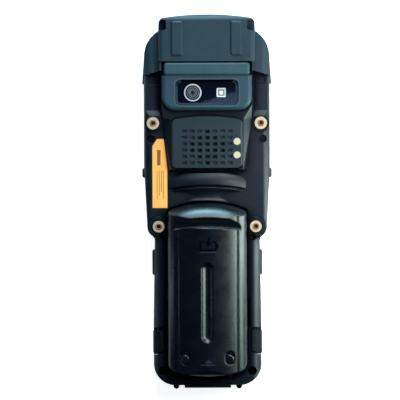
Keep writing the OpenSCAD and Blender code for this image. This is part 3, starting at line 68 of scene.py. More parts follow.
class Tree:
    """A material's node tree, with short calls to fill it."""

    def __init__(self, name):
        self.material = bpy.data.materials.new(name)
        self.material.use_nodes = True
        self.nodes = self.material.node_tree.nodes
        self.links = self.material.node_tree.links
        self.nodes.clear()
        self.place = self.node("ShaderNodeTexCoord").outputs["Object"]

    def node(self, kind, inputs=None, **settings):
        """Adds a node. Each input is a fixed value or another node's output."""
        made = self.nodes.new(kind)
        for key, value in settings.items():
            setattr(made, key, value)
        for key, value in (inputs or {}).items():
            if isinstance(value, bpy.types.NodeSocket):
                self.links.new(value, made.inputs[key])
            else:
                made.inputs[key].default_value = value
        return made

    def noise(self, size, detail):
        """Noise whose blotches are about size metres across."""
        inputs = {"Vector": self.place, "Scale": 1 / size, "Detail": detail}
        return self.node("ShaderNodeTexNoise", inputs).outputs["Fac"]

    def math(self, operation, a, b):
        """Sum, product or the like of two values."""
        return self.node("ShaderNodeMath", {0: a, 1: b}, operation=operation).outputs[0]

    def ramp(self, value, low, high, to_low=0.0, to_high=1.0):
        """Maps low to to_low and high to to_high, and holds what lies past them there."""
        inputs = {"Value": value, "From Min": low, "From Max": high, "To Min": to_low, "To Max": to_high}
        return self.node("ShaderNodeMapRange", inputs).outputs["Result"]

    def mix(self, factor, a, b):
        """Colour that goes from a to b; inputs 6 and 7 and output 2 are the node's colour ones."""
        inputs = {"Factor": factor, 6: a, 7: b}
        return self.node("ShaderNodeMix", inputs, data_type="RGBA").outputs[2]

    def clouded(self, clouds, colour, darker, lighter):
        """The colour, between two factors of itself as the clouds go."""
        return self.mix(clouds, shade(colour, darker), shade(colour, lighter))

    def soft_normal(self, radius):
        """Normal that looks rounded at the mesh's edges."""
        return self.node("ShaderNodeBevel", {"Radius": radius}, samples=6).outputs["Normal"]

    def edge_mask(self, soft):
        """1 where the soft normal leans away from the mesh's own, at an edge, and 0 elsewhere."""
        true = self.node("ShaderNodeNewGeometry").outputs["True Normal"]
        agree = self.node("ShaderNodeVectorMath", {0: soft, 1: true}, operation="DOT_PRODUCT")
        return self.ramp(agree.outputs["Value"], low=0.97, high=0.7)

    def unshaded_away_from_steps(self, distance):
        """Factor for painted shade: 1 in the open, down to 0.12 in corners that have a step less than
        distance away.
        """
        light = self.node("ShaderNodeAmbientOcclusion", {"Distance": distance}, samples=8).outputs["AO"]
        return self.ramp(light, low=0.72, high=0.98, to_low=0.12)

    def bump(self, height, depth, strength, normal=None):
        """Normal of a relief that is depth metres high, laid over another normal if one is given."""
        inputs = {"Height": height, "Distance": depth, "Strength": strength}
        if normal is not None:
            inputs["Normal"] = normal
        return self.node("ShaderNodeBump", inputs).outputs["Normal"]

    def finish(self, **inputs):
        """Ends the tree in a Principled shader; input names have _ for spaces."""
        named = {key.replace("_", " "): value for key, value in inputs.items()}
        shader = self.node("ShaderNodeBsdfPrincipled", named)
        self.node("ShaderNodeOutputMaterial", {"Surface": shader.outputs["BSDF"]})
        return self.material


def srgb(red, green, blue):
    """Linear colour of an sRGB one given from 0 to 255."""

    def linear(value):
        share = value / 255
        return share / 12.92 if share <= 0.04045 else ((share + 0.055) / 1.055) ** 2.4

    return (linear(red), linear(green), linear(blue), 1.0)


def shade(colour, factor):
    """The colour made darker or lighter by a factor."""
    return tuple(min(1.0, part * factor) for part in colour[:3]) + (1.0,)


# ---------------------------------------------------------------- materials

def plastic(name, colour, rough, grain=0.35, depth=0.02, edge=1.6, radius=0.22, shine=0.28, crease=0.0):
    """Moulded plastic: spark-eroded grain, cloudy colour, and edges a little lighter, partly rubbed wear
    and partly painted highlight.

    grain is the size and depth the height of the texture, in mm. edge is how much lighter the edges are,
    partly wear and partly painted highlight, and radius how round they look, in mm. crease is how far from
    a step, in mm, the surface carries painted shade, darker and duller, or 0 for none."""
    tree = Tree(name)
    soft = tree.soft_normal(radius * MM)
    cloudy = tree.noise(9 * MM, detail=3.0)
    fine = tree.noise(grain * MM, detail=1.0)
    body = tree.clouded(cloudy, colour, 0.82, 1.18)
    patchy = tree.ramp(tree.noise(2.5 * MM, detail=3.0), low=0.35, high=0.65, to_low=0.25)
    # edges lighter in patches: partly rubbed wear, partly painted highlight
    wear_and_edge_highlight = tree.math("MULTIPLY", tree.edge_mask(soft), patchy)
    tone = tree.mix(wear_and_edge_highlight, body, shade(colour, edge))
    # painted shade: near steps the colour is darkened and the shine dulled, where shadow falls
    if crease:
        clear = tree.unshaded_away_from_steps(crease * MM)
        tone = tree.mix(clear, shade(colour, 0.3), tone)
        shine = tree.math("MULTIPLY", clear, shine)
    return tree.finish(
        Base_Color=tone,
        Roughness=tree.ramp(tree.math("ADD", cloudy, fine), 0.7, 1.3, rough - 0.05, rough + 0.06),
        Specular_IOR_Level=shine,
        Normal=tree.bump(fine, depth * MM, 0.6, soft),
    )


def rubber(name, colour, rough=0.6, sheen=0.15, shine=0.5):
    """Soft-touch rubber: finer grain, duller, with a faint sheen, and edges a little lighter, partly wear
    and partly painted highlight.
    """
    tree = Tree(name)
    soft = tree.soft_normal(0.3 * MM)
    fine = tree.noise(0.25 * MM, detail=2.0)
    body = tree.clouded(tree.noise(6 * MM, detail=4.0), colour, 0.82, 1.18)
    # edges lighter: partly rubbed wear, partly painted highlight
    wear_and_edge_highlight = tree.math("MULTIPLY", tree.edge_mask(soft), 0.6)
    return tree.finish(
        Base_Color=tree.mix(wear_and_edge_highlight, body, shade(colour, 1.7)),
        Roughness=tree.ramp(fine, 0.3, 0.7, rough - 0.06, rough + 0.06),
        Sheen_Weight=sheen,
        Specular_IOR_Level=shine,
        Normal=tree.bump(fine, 0.02 * MM, 0.5, soft),
    )


def metal(name, colour, rough, relief=0.5, metallic=1.0):
    """Turned, drawn or plated metal: clouded polish over a fine grain, which shows as relief goes up."""
    tree = Tree(name)
    soft = tree.soft_normal(0.12 * MM)
    cloudy = tree.noise(1.6 * MM, detail=3.0)
    fine = tree.noise(0.12 * MM, detail=1.0)
    return tree.finish(
        Base_Color=tree.clouded(cloudy, colour, 0.84, 1.08),
        Metallic=metallic,
        Roughness=tree.ramp(tree.math("ADD", cloudy, fine), 0.7, 1.3, rough - 0.07, rough + 0.1),
        Normal=tree.bump(fine, 0.01 * MM, relief, soft),
    )


def gloss(name, colour, rough, alpha=1.0, coat=0.0):
    """Smooth moulded or glass-like surface with a trace of smudges."""
    tree = Tree(name)
    smudge = tree.noise(7 * MM, detail=4.0)
    return tree.finish(
        Base_Color=tree.clouded(smudge, colour, 0.9, 1.1),
        Roughness=tree.ramp(smudge, 0.3, 0.7, rough, rough + 0.06),
        Alpha=alpha,
        Coat_Weight=coat,
        Normal=tree.soft_normal(0.12 * MM),
    )


def circuit_board(name, colour):
    """Solder mask with a faint pattern of tracks."""
    tree = Tree(name)
    tracks = {"Scale": 1 / (2.2 * MM), "Mortar Size": 0.03}
    colours = {"Color1": shade(colour, 0.85), "Color2": colour, "Mortar": shade(colour, 1.8)}
    pattern = tree.node("ShaderNodeTexBrick", {"Vector": tree.place} | tracks | colours)
    return tree.finish(
        Base_Color=pattern.outputs["Color"],
        Roughness=0.35,
        Normal=tree.bump(pattern.outputs["Fac"], 0.02 * MM, 0.4),
    )


# one look for each material slot of the record
LOOKS = {
    # the housing carries painted shade within 5 mm of its steps
    "housing": plastic("housing", srgb(3, 11, 23), 0.4, shine=0.34, crease=5.0),
    "bumper": plastic("bumper", srgb(25, 41, 51), 0.5, grain=0.3, edge=1.3),
    "trim": plastic("trim", srgb(20, 32, 40), 0.5, grain=0.25, edge=1.3),
    "battery_shell": plastic("battery_shell", srgb(2, 5, 12), 0.28, grain=0.25, depth=0.003, radius=1.1,
                             shine=0.4),
    "black_parts": plastic("black_parts", srgb(22, 24, 27), 0.5, grain=0.5),
    "latch": plastic("latch", srgb(4, 7, 13), 0.22, grain=0.3, depth=0.004, radius=0.5, shine=0.6),
    "rubber_mat": rubber("rubber_mat", srgb(70, 74, 78)),
    "rubber_flap": rubber("rubber_flap", srgb(5, 9, 14), sheen=0.01, shine=0.12),
    "side_key": rubber("side_key", srgb(14, 20, 30), 0.5, shine=0.3),
    "key_orange": rubber("key_orange", srgb(222, 150, 52), 0.45),
    "key_dark": rubber("key_dark", srgb(38, 44, 50), 0.45),
    "key_red": rubber("key_red", srgb(150, 44, 38), 0.45),
    "key_green": rubber("key_green", srgb(40, 122, 66), 0.45),
    "key_grey": rubber("key_grey", srgb(62, 69, 76), 0.45),
    "lens_ring": metal("lens_ring", srgb(232, 234, 246), 0.35, relief=0.2, metallic=0.2),
    "gold": metal("gold", srgb(198, 182, 154), 0.35, relief=0.2, metallic=0.3),
    "brass_insert": metal("brass_insert", srgb(186, 160, 136), 0.42, relief=0.3, metallic=0.3),
    "black_steel": metal("black_steel", srgb(34, 36, 40), 0.4),
    "metal_parts": metal("metal_parts", srgb(176, 180, 184), 0.35),
    "spring_steel": metal("spring_steel", srgb(190, 194, 198), 0.28),
    "led": gloss("led", srgb(236, 240, 236), 0.3),
    "label": gloss("label", srgb(232, 158, 78), 0.45),
    "cell_wrap": gloss("cell_wrap", srgb(40, 96, 140), 0.25),
    "status_glass": gloss("status_glass", srgb(112, 176, 92), 0.15),
    "window_glass": gloss("window_glass", srgb(8, 13, 28), 0.05, alpha=0.12),
    "scan_glass": gloss("scan_glass", srgb(48, 8, 14), 0.05, alpha=0.75),
    "display_glass": gloss("display_glass", srgb(8, 10, 13), 0.05, coat=0.5),
    "board": circuit_board("board", srgb(24, 84, 58)),
}

# nodes whose plastic is a little lighter than the rest of their slot; on the brow bar the lighter colour is
# painted light, as on a face turned towards the lamps
NODE_LOOKS = {
    "brow_bar": plastic("brow_painted_light", srgb(38, 62, 70), 0.45, grain=0.3, edge=1.25),
    "camera_frame": plastic("frame_plastic", srgb(32, 54, 65), 0.45, grain=0.25, edge=1.4),
}

for part in frame["record"]["subparts"]:
    mesh = frame["nodes"][part["node"]].data
    mesh.materials.clear()
    mesh.materials.append(NODE_LOOKS.get(part["node"], LOOKS[part["material_slot"]]))


# ---------------------------------------------------------------- outlines

def square(x, y, side):
    """Corners of a square round x, y."""
    half = side / 2
    return [(x + s * half, y + t * half) for s, t in ((-1, -1), (1, -1), (1, 1), (-1, 1))]


def circle(x, y, radius, steps=48):
    """Points of a circle round x, y."""
    turns = [2 * math.pi * k / steps for k in range(steps)]
    return [(x + radius * math.cos(a), y + radius * math.sin(a)) for a in turns]


def rounded(width, length, radius, steps=8):
    """Outline of a rectangle round the origin whose corners have that radius."""
    x, y = width / 2 - radius, length / 2 - radius
    outline = []
    for corner_x, corner_y, start in ((x, y, 0), (-x, y, 90), (-x, -y, 180), (x, -y, 270)):
        for k in range(steps + 1):
            a = math.radians(start + 90 * k / steps)
            outline.append((corner_x + radius * math.cos(a), corner_y + radius * math.sin(a)))
    return outline


def bar(x0, y0, x1, y1, width):
    """Corners of a straight stroke between two points, which runs half its width past them."""
    along = Vector((x1 - x0, y1 - y0)).normalized() * (width / 2)
    side = Vector((-along.y, along.x))
    start, end = Vector((x0, y0)) - along, Vector((x1, y1)) + along
    return [tuple(corner) for corner in (start - side, end - side, end + side, start + side)]


# ---------------------------------------------------------------- making pieces

def new_piece(name, mesh, body, material):
    """Links a mesh as a piece that rides on body."""
    mesh.materials.clear()
    mesh.materials.append(material)
    piece = bpy.data.objects.new(name, mesh)
    bpy.context.scene.collection.objects.link(piece)
    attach(piece, body)
    return piece


def mesh_of(name, bm, smooth=True):
    """Mesh of what bm holds, which is freed."""
    bmesh.ops.recalc_face_normals(bm, faces=bm.faces)
    mesh = bpy.data.meshes.new(name)
    bm.to_mesh(mesh)
    bm.free()
    for polygon in mesh.polygons:
        polygon.use_smooth = smooth
    return mesh


def lathe(name, centre, profile, steps=72):
    """Mesh turned about the Z axis through centre; profile lists (radius, height) along its section."""
    bm = bmesh.new()
    rings = []
    for radius, height in profile:
        z = centre[2] + height
        if radius == 0:
            rings.append([bm.verts.new((centre[0], centre[1], z))] * steps)
            continue
        rings.append([bm.verts.new((x, y, z)) for x, y in circle(centre[0], centre[1], radius, steps)])
    for low, high in zip(rings, rings[1:]):
        for k in range(steps):
            j = (k + 1) % steps
            corners = list(dict.fromkeys((low[k], low[j], high[j], high[k])))
            if len(corners) > 2:
                bm.faces.new(corners)
    return mesh_of(name, bm)


def hoop(name, centre, width, length, radius, profile):
    """Closed ring round a rounded rectangle; profile lists (outwards, up) round its section."""
    bm = bmesh.new()
    loops = []
    for out, up in profile:
        outline = rounded(width + 2 * out, length + 2 * out, radius + out)
        loops.append([bm.verts.new((centre.x + x, centre.y + y, centre.z + up)) for x, y in outline])
    for one, two in zip(loops, loops[1:] + loops[:1]):
        for k in range(len(one)):
            j = (k + 1) % len(one)
            bm.faces.new((one[k], one[j], two[j], two[k]))
    return mesh_of(name, bm)


def slab(bm, outline, low, high, cut=0.0):
    """Adds a plate with that outline, from low up to high, its upper edge cut back by cut."""
    centre = sum((Vector((x, y, 0)) for x, y in outline), Vector()) / len(outline)

    def ring(z, inset):
        made = []
        for x, y in outline:
            away = Vector((x, y, 0)) - centre
            spot = centre + away * (1 - inset / away.length)
            made.append(bm.verts.new((spot.x, spot.y, z)))
        return made

    rings = [ring(low, 0), ring(high - cut, 0)]
    if cut:
        rings.append(ring(high, cut))
    for below, above in zip(rings, rings[1:]):
        for k in range(len(outline)):
            j = (k + 1) % len(outline)
            bm.faces.new((below[k], below[j], above[j], above[k]))
    bm.faces.new(rings[-1])
    bm.faces.new(list(reversed(rings[0])))


def square_plate(name, x, y, side, low, high, cut=0.0):
    """Square plate from low up to high, its upper edge cut back by cut."""
    bm = bmesh.new()
    slab(bm, square(x, y, side), low, high, cut)
    return mesh_of(name, bm, False)


def middle(node):
    """Centre of a CAD node's box."""
    low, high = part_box(node)
    return (low + high) / 2


def surface_above(node):
    """Function that gives the height of a CAD node's upper surface at x, y."""
    mesh = frame["nodes"][node].data
    surface = BVHTree.FromPolygons([v.co for v in mesh.vertices], [p.vertices for p in mesh.polygons])
    start_height = 0.1  # over the whole terminal
    down = Vector((0, 0, -1))

    def height(x, y):
        hit = surface.ray_cast(Vector((x, y, start_height)), down)[0]
        return hit.z if hit else 0.0

    return height


def cut_up(bm):
    """Splits every edge, so that a flat shape can follow a crowned surface."""
    bmesh.ops.subdivide_edges(bm, edges=bm.edges[:], cuts=5, use_grid_fill=True)


def rest_on(mesh, height):
    """Moves each vertex up by the height of the surface under it."""
    for v in mesh.vertices:
        v.co.z += height(v.co.x, v.co.y)
    return mesh


# ---------------------------------------------------------------- camera and flash

def lens_pieces():
    """Black barrel inside the bright ring, three thin rims and the front element."""
    low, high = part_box("camera_module")
    seat = ((low.x + high.x) / 2, (low.y + high.y) / 2, high.z)
    ring_radius = (high.x - low.x) / 2
    black = gloss("lens_black", srgb(5, 6, 10), 0.1)
    grey = gloss("lens_grey", srgb(150, 152, 166), 0.3)
    glass = gloss("lens_glass", srgb(36, 36, 46), 0.08, coat=1.0)

    # barrel with a stepped bore: shares of the ring's radius, and heights over its face in mm
    bore = [(0.84, -0.6), (0.84, 0.08), (0.77, 0.08), (0.70, -0.05), (0.60, -0.05),
            (0.56, 0.06), (0.50, 0.06), (0.46, -0.10), (0, -0.10)]
    barrel = [(0, -0.6 * MM)] + [(ring_radius * share, up * MM) for share, up in bore]
    new_piece("lens_barrel", lathe("lens_barrel", seat, barrel), "terminal", black)

    # rims: radius and half width as shares of the ring's radius, and height over its face in mm
    rims = ((0.64, 0.024, 0.0), (0.43, 0.026, -0.04), (0.29, 0.018, -0.04))
    for number, (share, width, up) in enumerate(rims, 1):
        name = f"lens_rim_{number}"
        inner = ring_radius * (share - width)
        crest = ring_radius * share
        outer = ring_radius * (share + width)
        foot = (up - 0.1) * MM
        shoulder = up * MM
        top = (up + 0.06) * MM
        section = [(inner, foot), (outer, foot), (outer, shoulder), (crest, top), (inner, shoulder),
                   (inner, foot)]
        new_piece(name, lathe(name, seat, section), "terminal", grey)

    # front element: a low dome on a short cylinder
    radius = ring_radius * 0.25
    foot, brim, rise = -0.2 * MM, -0.1 * MM, 0.14 * MM
    turns = [math.radians(15 * k) for k in range(6)]
    crown = [(radius * math.cos(a), brim + rise * math.sin(a)) for a in turns]
    dome = [(0, foot), (radius, foot)] + crown + [(0, brim + rise)]
    new_piece("lens_dome", lathe("lens_dome", seat, dome), "terminal", glass)


def flash_pieces():
    """Dark floor inside the flash's white frame, with the bright phosphor on it."""
    low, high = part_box("flash_led")
    x, y = (low.x + high.x) / 2, (low.y + high.y) / 2
    dark = gloss("flash_dark", srgb(24, 24, 22), 0.4)
    phosphor = gloss("phosphor", srgb(252, 252, 244), 0.4)
    floor_side, phosphor_side, cut = 3.36 * MM, 2.2 * MM, 0.15 * MM
    foot = high.z - 0.6 * MM
    floor = foot + 0.1 * MM
    top = foot + 0.5 * MM
    plate = square_plate("flash_floor", x, y, floor_side, foot, floor)
    new_piece("flash_floor", plate, "terminal", dark)
    block = square_plate("flash_phosphor", x, y, phosphor_side, floor, top, cut)
    new_piece("flash_phosphor", block, "terminal", phosphor)


def window_mask():
    """Printed mask behind the glass, open over the lens and the flash."""
    glass_low, glass_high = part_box("camera_window")
    module_low, module_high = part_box("camera_module")
    centre = middle("camera_window")
    lens = middle("camera_module")
    flash = middle("flash_led")
    gap, inset, corner = 0.04 * MM, 0.15 * MM, 2.85 * MM
    flash_side = 5.16 * MM
    lens_radius = 1.01 * (module_high.x - module_low.x) / 2
    width = glass_high.x - glass_low.x - 2 * inset
    length = glass_high.y - glass_low.y - 2 * inset
    z = glass_low.z - gap
    bm = bmesh.new()

    def closed(points):
        verts = [bm.verts.new((x, y, z)) for x, y in points]
        return [bm.edges.new((verts[k], verts[(k + 1) % len(verts)])) for k in range(len(verts))]

    edges = closed([(centre.x + x, centre.y + y) for x, y in rounded(width, length, corner)])
    edges += closed(circle(lens.x, lens.y, lens_radius))
    edges += closed(square(flash.x, flash.y, flash_side))
    bmesh.ops.triangle_fill(bm, use_beauty=True, edges=edges)
    ink = gloss("window_mask", srgb(4, 7, 20), 0.05)
    new_piece("window_mask", mesh_of("window_mask", bm, False), "terminal", ink)


def window_bezel():
    """Thin bead round the window, set on the camera frame; its lighter colour is painted highlight along
    the window's rim.
    """
    low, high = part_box("camera_window")
    centre = middle("camera_window")
    centre.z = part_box("camera_frame")[1].z
    corner = 3 * MM
    bead = [(0.06, -0.35), (0.5, -0.35), (0.5, 0.0), (0.4, 0.06), (0.2, 0.06), (0.06, 0.0)]
    section = [(out * MM, up * MM) for out, up in bead]
    bezel = hoop("window_bezel", centre, high.x - low.x, high.y - low.y, corner, section)
    new_piece("window_bezel", bezel, "terminal", plastic("bezel", srgb(64, 68, 84), 0.3, edge=1.3))


lens_pieces()
flash_pieces()
window_mask()
window_bezel()


# ---------------------------------------------------------------- battery cover

def cover_signs():
    """The charge sign above the groove and the release sign between the latches."""
    height = surface_above("battery_cover")
    top_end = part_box("battery_cover")[1].y
    ink = plastic("icon_ink", srgb(0, 1, 3), 0.7, edge=3.0, shine=0.0)
    pale = plastic("icon_line", srgb(34, 38, 52), 0.5)
    release = plastic("release_ink", srgb(20, 26, 42), 0.5)
    sunk, raised, cut = -0.05 * MM, 0.08 * MM, 0.03 * MM

    def sign(name, strokes, shapes, material):
        """One sign of strokes (x0, y0, x1, y1, width) and closed shapes, in mm from the cover's top end."""
        bm = bmesh.new()
        for x0, y0, x1, y1, width in strokes:
            outline = bar(x0 * MM, top_end + y0 * MM, x1 * MM, top_end + y1 * MM, width * MM)
            slab(bm, outline, sunk, raised, cut)
        for shape in shapes:
            slab(bm, [(x * MM, top_end + y * MM) for x, y in shape], sunk, raised)
        cut_up(bm)
        new_piece(name, rest_on(mesh_of(name, bm, False), height), "pack", material)

    # a battery with a knob at its right end and a bolt through its open upper side
    left, right, upper, lower, line = -3.9, 4.7, -22.0, -26.6, 0.7
    stub, knob, knob_line = 2, 0.9, 0.8
    x = (left + right) / 2
    battery = [
        (left, lower, right, lower, line),
        (left, upper, left + stub, upper, line),
        (right - stub, upper, right, upper, line),
        (left, lower, left, upper, line),
        (right, lower, right, upper, line),
        (right + knob, lower + 1.5, right + knob, upper - 1.5, knob_line),
    ]
    bolt = [(x + 1.6, upper + 3.4), (x - 1.8, upper - 1.2), (x - 0.1, upper - 1.0),
            (x - 1.4, lower + 0.9), (x + 2.1, upper - 0.5), (x + 0.4, upper - 0.4)]
    sign("charge_sign", battery, [bolt], ink)
    underline = (left - 0.3, lower - 1.3, right + 0.3, lower - 1.3, 0.35)
    sign("charge_sign_line", [underline], [], pale)

    # an arrow that points up the pack, over a stroke
    base = (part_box("latch_right")[1].y - top_end) / MM - 4.6
    arrow = [(-1.7, base), (2.3, base), (0.3, base + 2.3)]
    stroke = (-3.6, base - 1.1, 4.2, base - 1.1, 0.5)
    sign("release_sign", [stroke], [arrow], release)


def scoop_lip():
    """Rounded bead along the lower edge of the finger scoop."""
    height = surface_above("battery_cover")
    edge_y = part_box("battery_cover")[1].y - 13.95 * MM
    radius = 0.3 * MM
    bend = 110 * MM
    reach = 18.6 * MM
    back = 0.35 * MM  # how far below the edge the cover's height is taken
    tip = 0.1  # thickness of the bead's ends, as a share of its middle
    steps, sides = 48, 10
    bm = bmesh.new()
    rings = []
    for k in range(steps + 1):
        share = 2 * k / steps - 1
        x = reach * share
        y = edge_y - bend + math.sqrt(bend * bend - x * x)
        taper = tip + (1 - tip) * math.sqrt(1 - share**6)
        section = circle(y, height(x, y - back), radius * taper, sides)
        rings.append([bm.verts.new((x, across, up)) for across, up in section])
    for one, two in zip(rings, rings[1:]):
        for k in range(sides):
            j = (k + 1) % sides
            bm.faces.new((one[k], one[j], two[j], two[k]))
    bm.faces.new(rings[0])
    bm.faces.new(list(reversed(rings[-1])))
    new_piece("scoop_lip", mesh_of("scoop_lip", bm), "pack", LOOKS["battery_shell"])


cover_signs()
scoop_lip()


# ---------------------------------------------------------------- front: key numbers

def letter_mesh(name, text, size, depth):
    """Mesh of a short text, centred on the origin and read from +Z."""
    curve = bpy.data.curves.new(name, "FONT")
    curve.body = text
    curve.size = size
    curve.extrude = depth
    curve.align_x = "CENTER"
    curve.align_y = "CENTER"
    holder = bpy.data.objects.new("holder", curve)
    bpy.context.scene.collection.objects.link(holder)
    bpy.context.view_layer.update()
    mesh = bpy.data.meshes.new_from_object(holder)
    bpy.data.objects.remove(holder)
    return mesh


def key_numbers():
    """Numbers printed on the keys, turned to be read from below."""
    ink = gloss("key_print", srgb(226, 230, 232), 0.4)
    size, depth = 4.6 * MM, 0.02 * MM
    rows = (("1", "2", "3"), ("4", "5", "6"), ("7", "8", "9"), ("star", "0", "hash"))
    signs = {"star": "*", "hash": "#"}
    # the nodes' names run from -X to +X, which is right to left for someone who looks at the front
    places = [(f"key_{name}", legend) for row in rows for name, legend in zip(reversed(row), row)]
    for node, legend in places:
        name = f"number_{legend}"
        mesh = letter_mesh(name, signs.get(legend, legend), size, depth)
        low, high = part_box(node)
        x, y = (low.x + high.x) / 2, (low.y + high.y) / 2
        for v in mesh.vertices:
            v.co = Vector((x - v.co.x, y + v.co.y, low.z - v.co.z))
        mesh.flip_normals()
        new_piece(name, mesh, node, ink)


key_numbers()


# ---------------------------------------------------------------- grip inserts

def insert_throats():
    """Painted shade in the mouth of the thread in each grip insert: a dark bronze ring where the chamfer
    lies in shadow.
    """
    height = surface_above("grip_inserts")
    # painted shade: darker ring over the insert's chamfer
    throat_shade = plastic("insert_throat_shade", srgb(112, 70, 44), 0.4, radius=0.05)
    outer, sunk, proud = 1.9 * MM, -0.05 * MM, 0.03 * MM
    pairs = [m for m in frame["record"]["mounts"] if m["kind"] == "bolt_pattern"]
    for pair in pairs:
        inner = (pair["dims"]["hole_r_mm"] + 0.05) * MM
        section = [(inner, sunk), (outer, sunk), (outer, 0.0), (inner, proud), (inner, sunk)]
        y = pair["pos_m"][1]
        reach = pair["dims"]["spacing_x_mm"] / 2 * MM
        for side, x in (("left", -reach), ("right", reach)):
            name = f"throat_{pair['name']}_{side}"
            seat = (x, y, height(x + (inner + outer) / 2, y))
            new_piece(name, lathe(name, seat, section, steps=36), "terminal", throat_shade)


insert_throats()


# ---------------------------------------------------------------- label

def label_print():
    """Plain bars in place of the printed lines."""
    low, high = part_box("label_plate")
    ink = gloss("label_ink", srgb(122, 70, 30), 0.45)
    sunk, raised = -0.01 * MM, 0.015 * MM
    bm = bmesh.new()

    # a block in the corner, set in from the label's left and upper edges
    left = low.x + 2.6 * MM
    top = high.y - 6 * MM
    block_width, block_length = 1.9 * MM, 8.5 * MM
    right, bottom = left + block_width, top - block_length
    slab(bm, [(left, bottom), (right, bottom), (right, top), (left, top)], sunk, raised)

    # lines of uneven length below it
    lines, pitch, line_width = 4, 1.15 * MM, 0.35 * MM
    line_start, line_end, ragged = 11.5 * MM, 27 * MM, 2 * MM
    for k in range(lines):
        x = left + k * pitch
        slab(bm, bar(x, top - line_start, x, top - line_end + (k % 3) * ragged, line_width), sunk, raised)

    mesh = mesh_of("label_print", bm, False)
    for v in mesh.vertices:
        v.co.z += high.z
    new_piece("label_print", mesh, "terminal", ink)


label_print()


# ---------------------------------------------------------------- floor, camera and lights

PIXEL = 0.551 * MM  # size of a pixel of the picture, at the terminal
AXIS_PIXEL = (207.15, 201.5)  # where the terminal's origin is in the picture
FRAME_PIXELS = 400
CAMERA_ROLL = -0.21  # degrees
CAMERA_HEIGHT = 1.0

# corners of the slanting reflection in the camera window, in pixels of the picture
REFLECTION_PIXELS = ((203, 102.5), (222, 96), (240, 90.5), (240, 107), (203, 107))
CARD_HEIGHT = 0.10

# what the lamps face
AIM = Vector((0, 0, 0.02))

# name, place, width, height, watts and colour: all but the rim are past the upper end or on the right
LAMPS = (
    ("key", (0.24, 0.54, 0.46), 0.14, 0.14, 2.7, (1.0, 0.97, 0.94)),
    ("top", (0.0, 0.40, 0.26), 0.26, 0.30, 2.2, (0.62, 0.86, 1.0)),
    ("low_top", (0.0, 0.44, 0.11), 0.24, 0.12, 2.2, (0.40, 0.84, 1.0)),
    ("strip", (0.18, -0.01, 0.11), 0.05, 0.20, 0.66, (0.84, 0.96, 0.95)),
    ("edge", (0.175, -0.06, 0.14), 0.055, 0.14, 0.25, (0.66, 1.0, 0.84)),
    ("fill", (0.11, 0.05, 0.20), 0.03, 0.08, 0.13, (1.0, 1.0, 0.88)),
    ("finger_rest", (-0.04, 0.13, 0.22), 0.12, 0.04, 0.025, (0.40, 0.85, 1.0)),
    ("rim", (-0.20, -0.05, 0.06), 0.008, 0.20, 0.04, (0.72, 0.80, 1.0)),
)


def spot_of_pixel(x, y):
    """Place on the back of the terminal, in metres, of a point of the 400 by 400 picture."""
    return ((x - AXIS_PIXEL[0]) * PIXEL, (AXIS_PIXEL[1] - y) * PIXEL)


def make_camera():
    """Camera without perspective that looks straight down on the terminal's back."""
    data = bpy.data.cameras.new("camera")
    data.type = "ORTHO"
    data.ortho_scale = FRAME_PIXELS * PIXEL
    camera = bpy.data.objects.new("camera", data)
    bpy.context.scene.collection.objects.link(camera)
    x, y = spot_of_pixel(FRAME_PIXELS / 2, FRAME_PIXELS / 2)
    camera.location = (x, y, CAMERA_HEIGHT)
    camera.rotation_euler.z = math.radians(CAMERA_ROLL)
    bpy.context.scene.camera = camera


def make_floor():
    """Sheet that takes the shadow; past its edges the white world goes on without a seam."""
    half_width, near, far = 0.40, -0.28, 0.60
    corners = ((-half_width, near), (half_width, near), (half_width, far), (-half_width, far))
    z = cad_box[0].z - 0.2 * MM
    bm = bmesh.new()
    bm.faces.new([bm.verts.new((x, y, z)) for x, y in corners])
    mesh = mesh_of("floor", bm, False)
    floor = bpy.data.objects.new("floor", mesh)
    bpy.context.scene.collection.objects.link(floor)
    tree = Tree("floor")
    seen = tree.node("ShaderNodeLightPath").outputs["Is Camera Ray"]
    matt = tree.node("ShaderNodeBsdfDiffuse", {"Color": (0.8, 0.8, 0.8, 1)})
    strength = tree.math("MULTIPLY", seen, 0.9)
    glow = tree.node("ShaderNodeEmission", {"Color": (1, 1, 1, 1), "Strength": strength})
    both = tree.node("ShaderNodeAddShader", {0: matt.outputs[0], 1: glow.outputs[0]})
    tree.node("ShaderNodeOutputMaterial", {"Surface": both.outputs[0]})
    mesh.materials.append(tree.material)


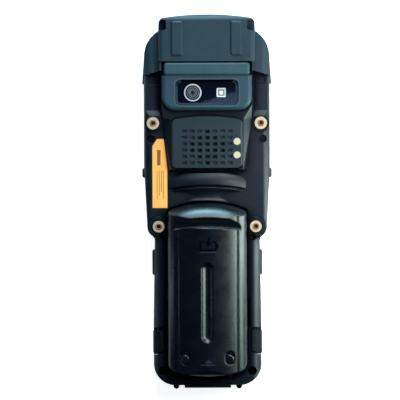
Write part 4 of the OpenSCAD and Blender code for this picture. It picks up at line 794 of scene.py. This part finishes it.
def make_card():
    """Pale blue card over the camera window, seen only as its slanting reflection in the glass."""
    bm = bmesh.new()
    bm.faces.new([bm.verts.new((*spot_of_pixel(*p), CARD_HEIGHT)) for p in REFLECTION_PIXELS])
    mesh = mesh_of("card", bm, False)
    card = bpy.data.objects.new("card", mesh)
    bpy.context.scene.collection.objects.link(card)
    tree = Tree("card")
    glow = tree.node("ShaderNodeEmission", {"Color": (0.42, 0.66, 1.0, 1), "Strength": 2.2})
    tree.node("ShaderNodeOutputMaterial", {"Surface": glow.outputs[0]})
    mesh.materials.append(tree.material)
    card.visible_camera = False
    card.visible_diffuse = False
    card.visible_transmission = False
    card.visible_shadow = False


def soft_light(name, place, width, height, watts, colour):
    """Rectangular lamp that faces the middle of the terminal."""
    data = bpy.data.lights.new(name, "AREA")
    data.shape = "RECTANGLE"
    data.size = width
    data.size_y = height
    data.energy = watts
    data.color = colour
    lamp = bpy.data.objects.new(name, data)
    bpy.context.scene.collection.objects.link(lamp)
    lamp.location = place
    lamp.rotation_mode = "QUATERNION"
    lamp.rotation_quaternion = (Vector(place) - AIM).to_track_quat("Z", "Y")


def make_world():
    """Faint blue light from all round, and white for what the camera sees."""
    world = bpy.data.worlds.new("world")
    world.use_nodes = True
    nodes = world.node_tree.nodes
    nodes.clear()
    path = nodes.new("ShaderNodeLightPath")
    plain = nodes.new("ShaderNodeBackground")
    plain.inputs["Color"].default_value = (0.3, 0.5, 1.0, 1)
    plain.inputs["Strength"].default_value = 0.05
    white = nodes.new("ShaderNodeBackground")
    white.inputs["Color"].default_value = (1, 1, 1, 1)
    white.inputs["Strength"].default_value = 1.0
    mixer = nodes.new("ShaderNodeMixShader")
    out = nodes.new("ShaderNodeOutputWorld")
    link = world.node_tree.links.new
    link(path.outputs["Is Camera Ray"], mixer.inputs[0])
    link(plain.outputs[0], mixer.inputs[1])
    link(white.outputs[0], mixer.inputs[2])
    link(mixer.outputs[0], out.inputs["Surface"])
    bpy.context.scene.world = world


make_camera()
make_floor()
make_card()
for lamp_values in LAMPS:
    soft_light(*lamp_values)
make_world()
bpy.context.scene.view_settings.view_transform = "Standard"
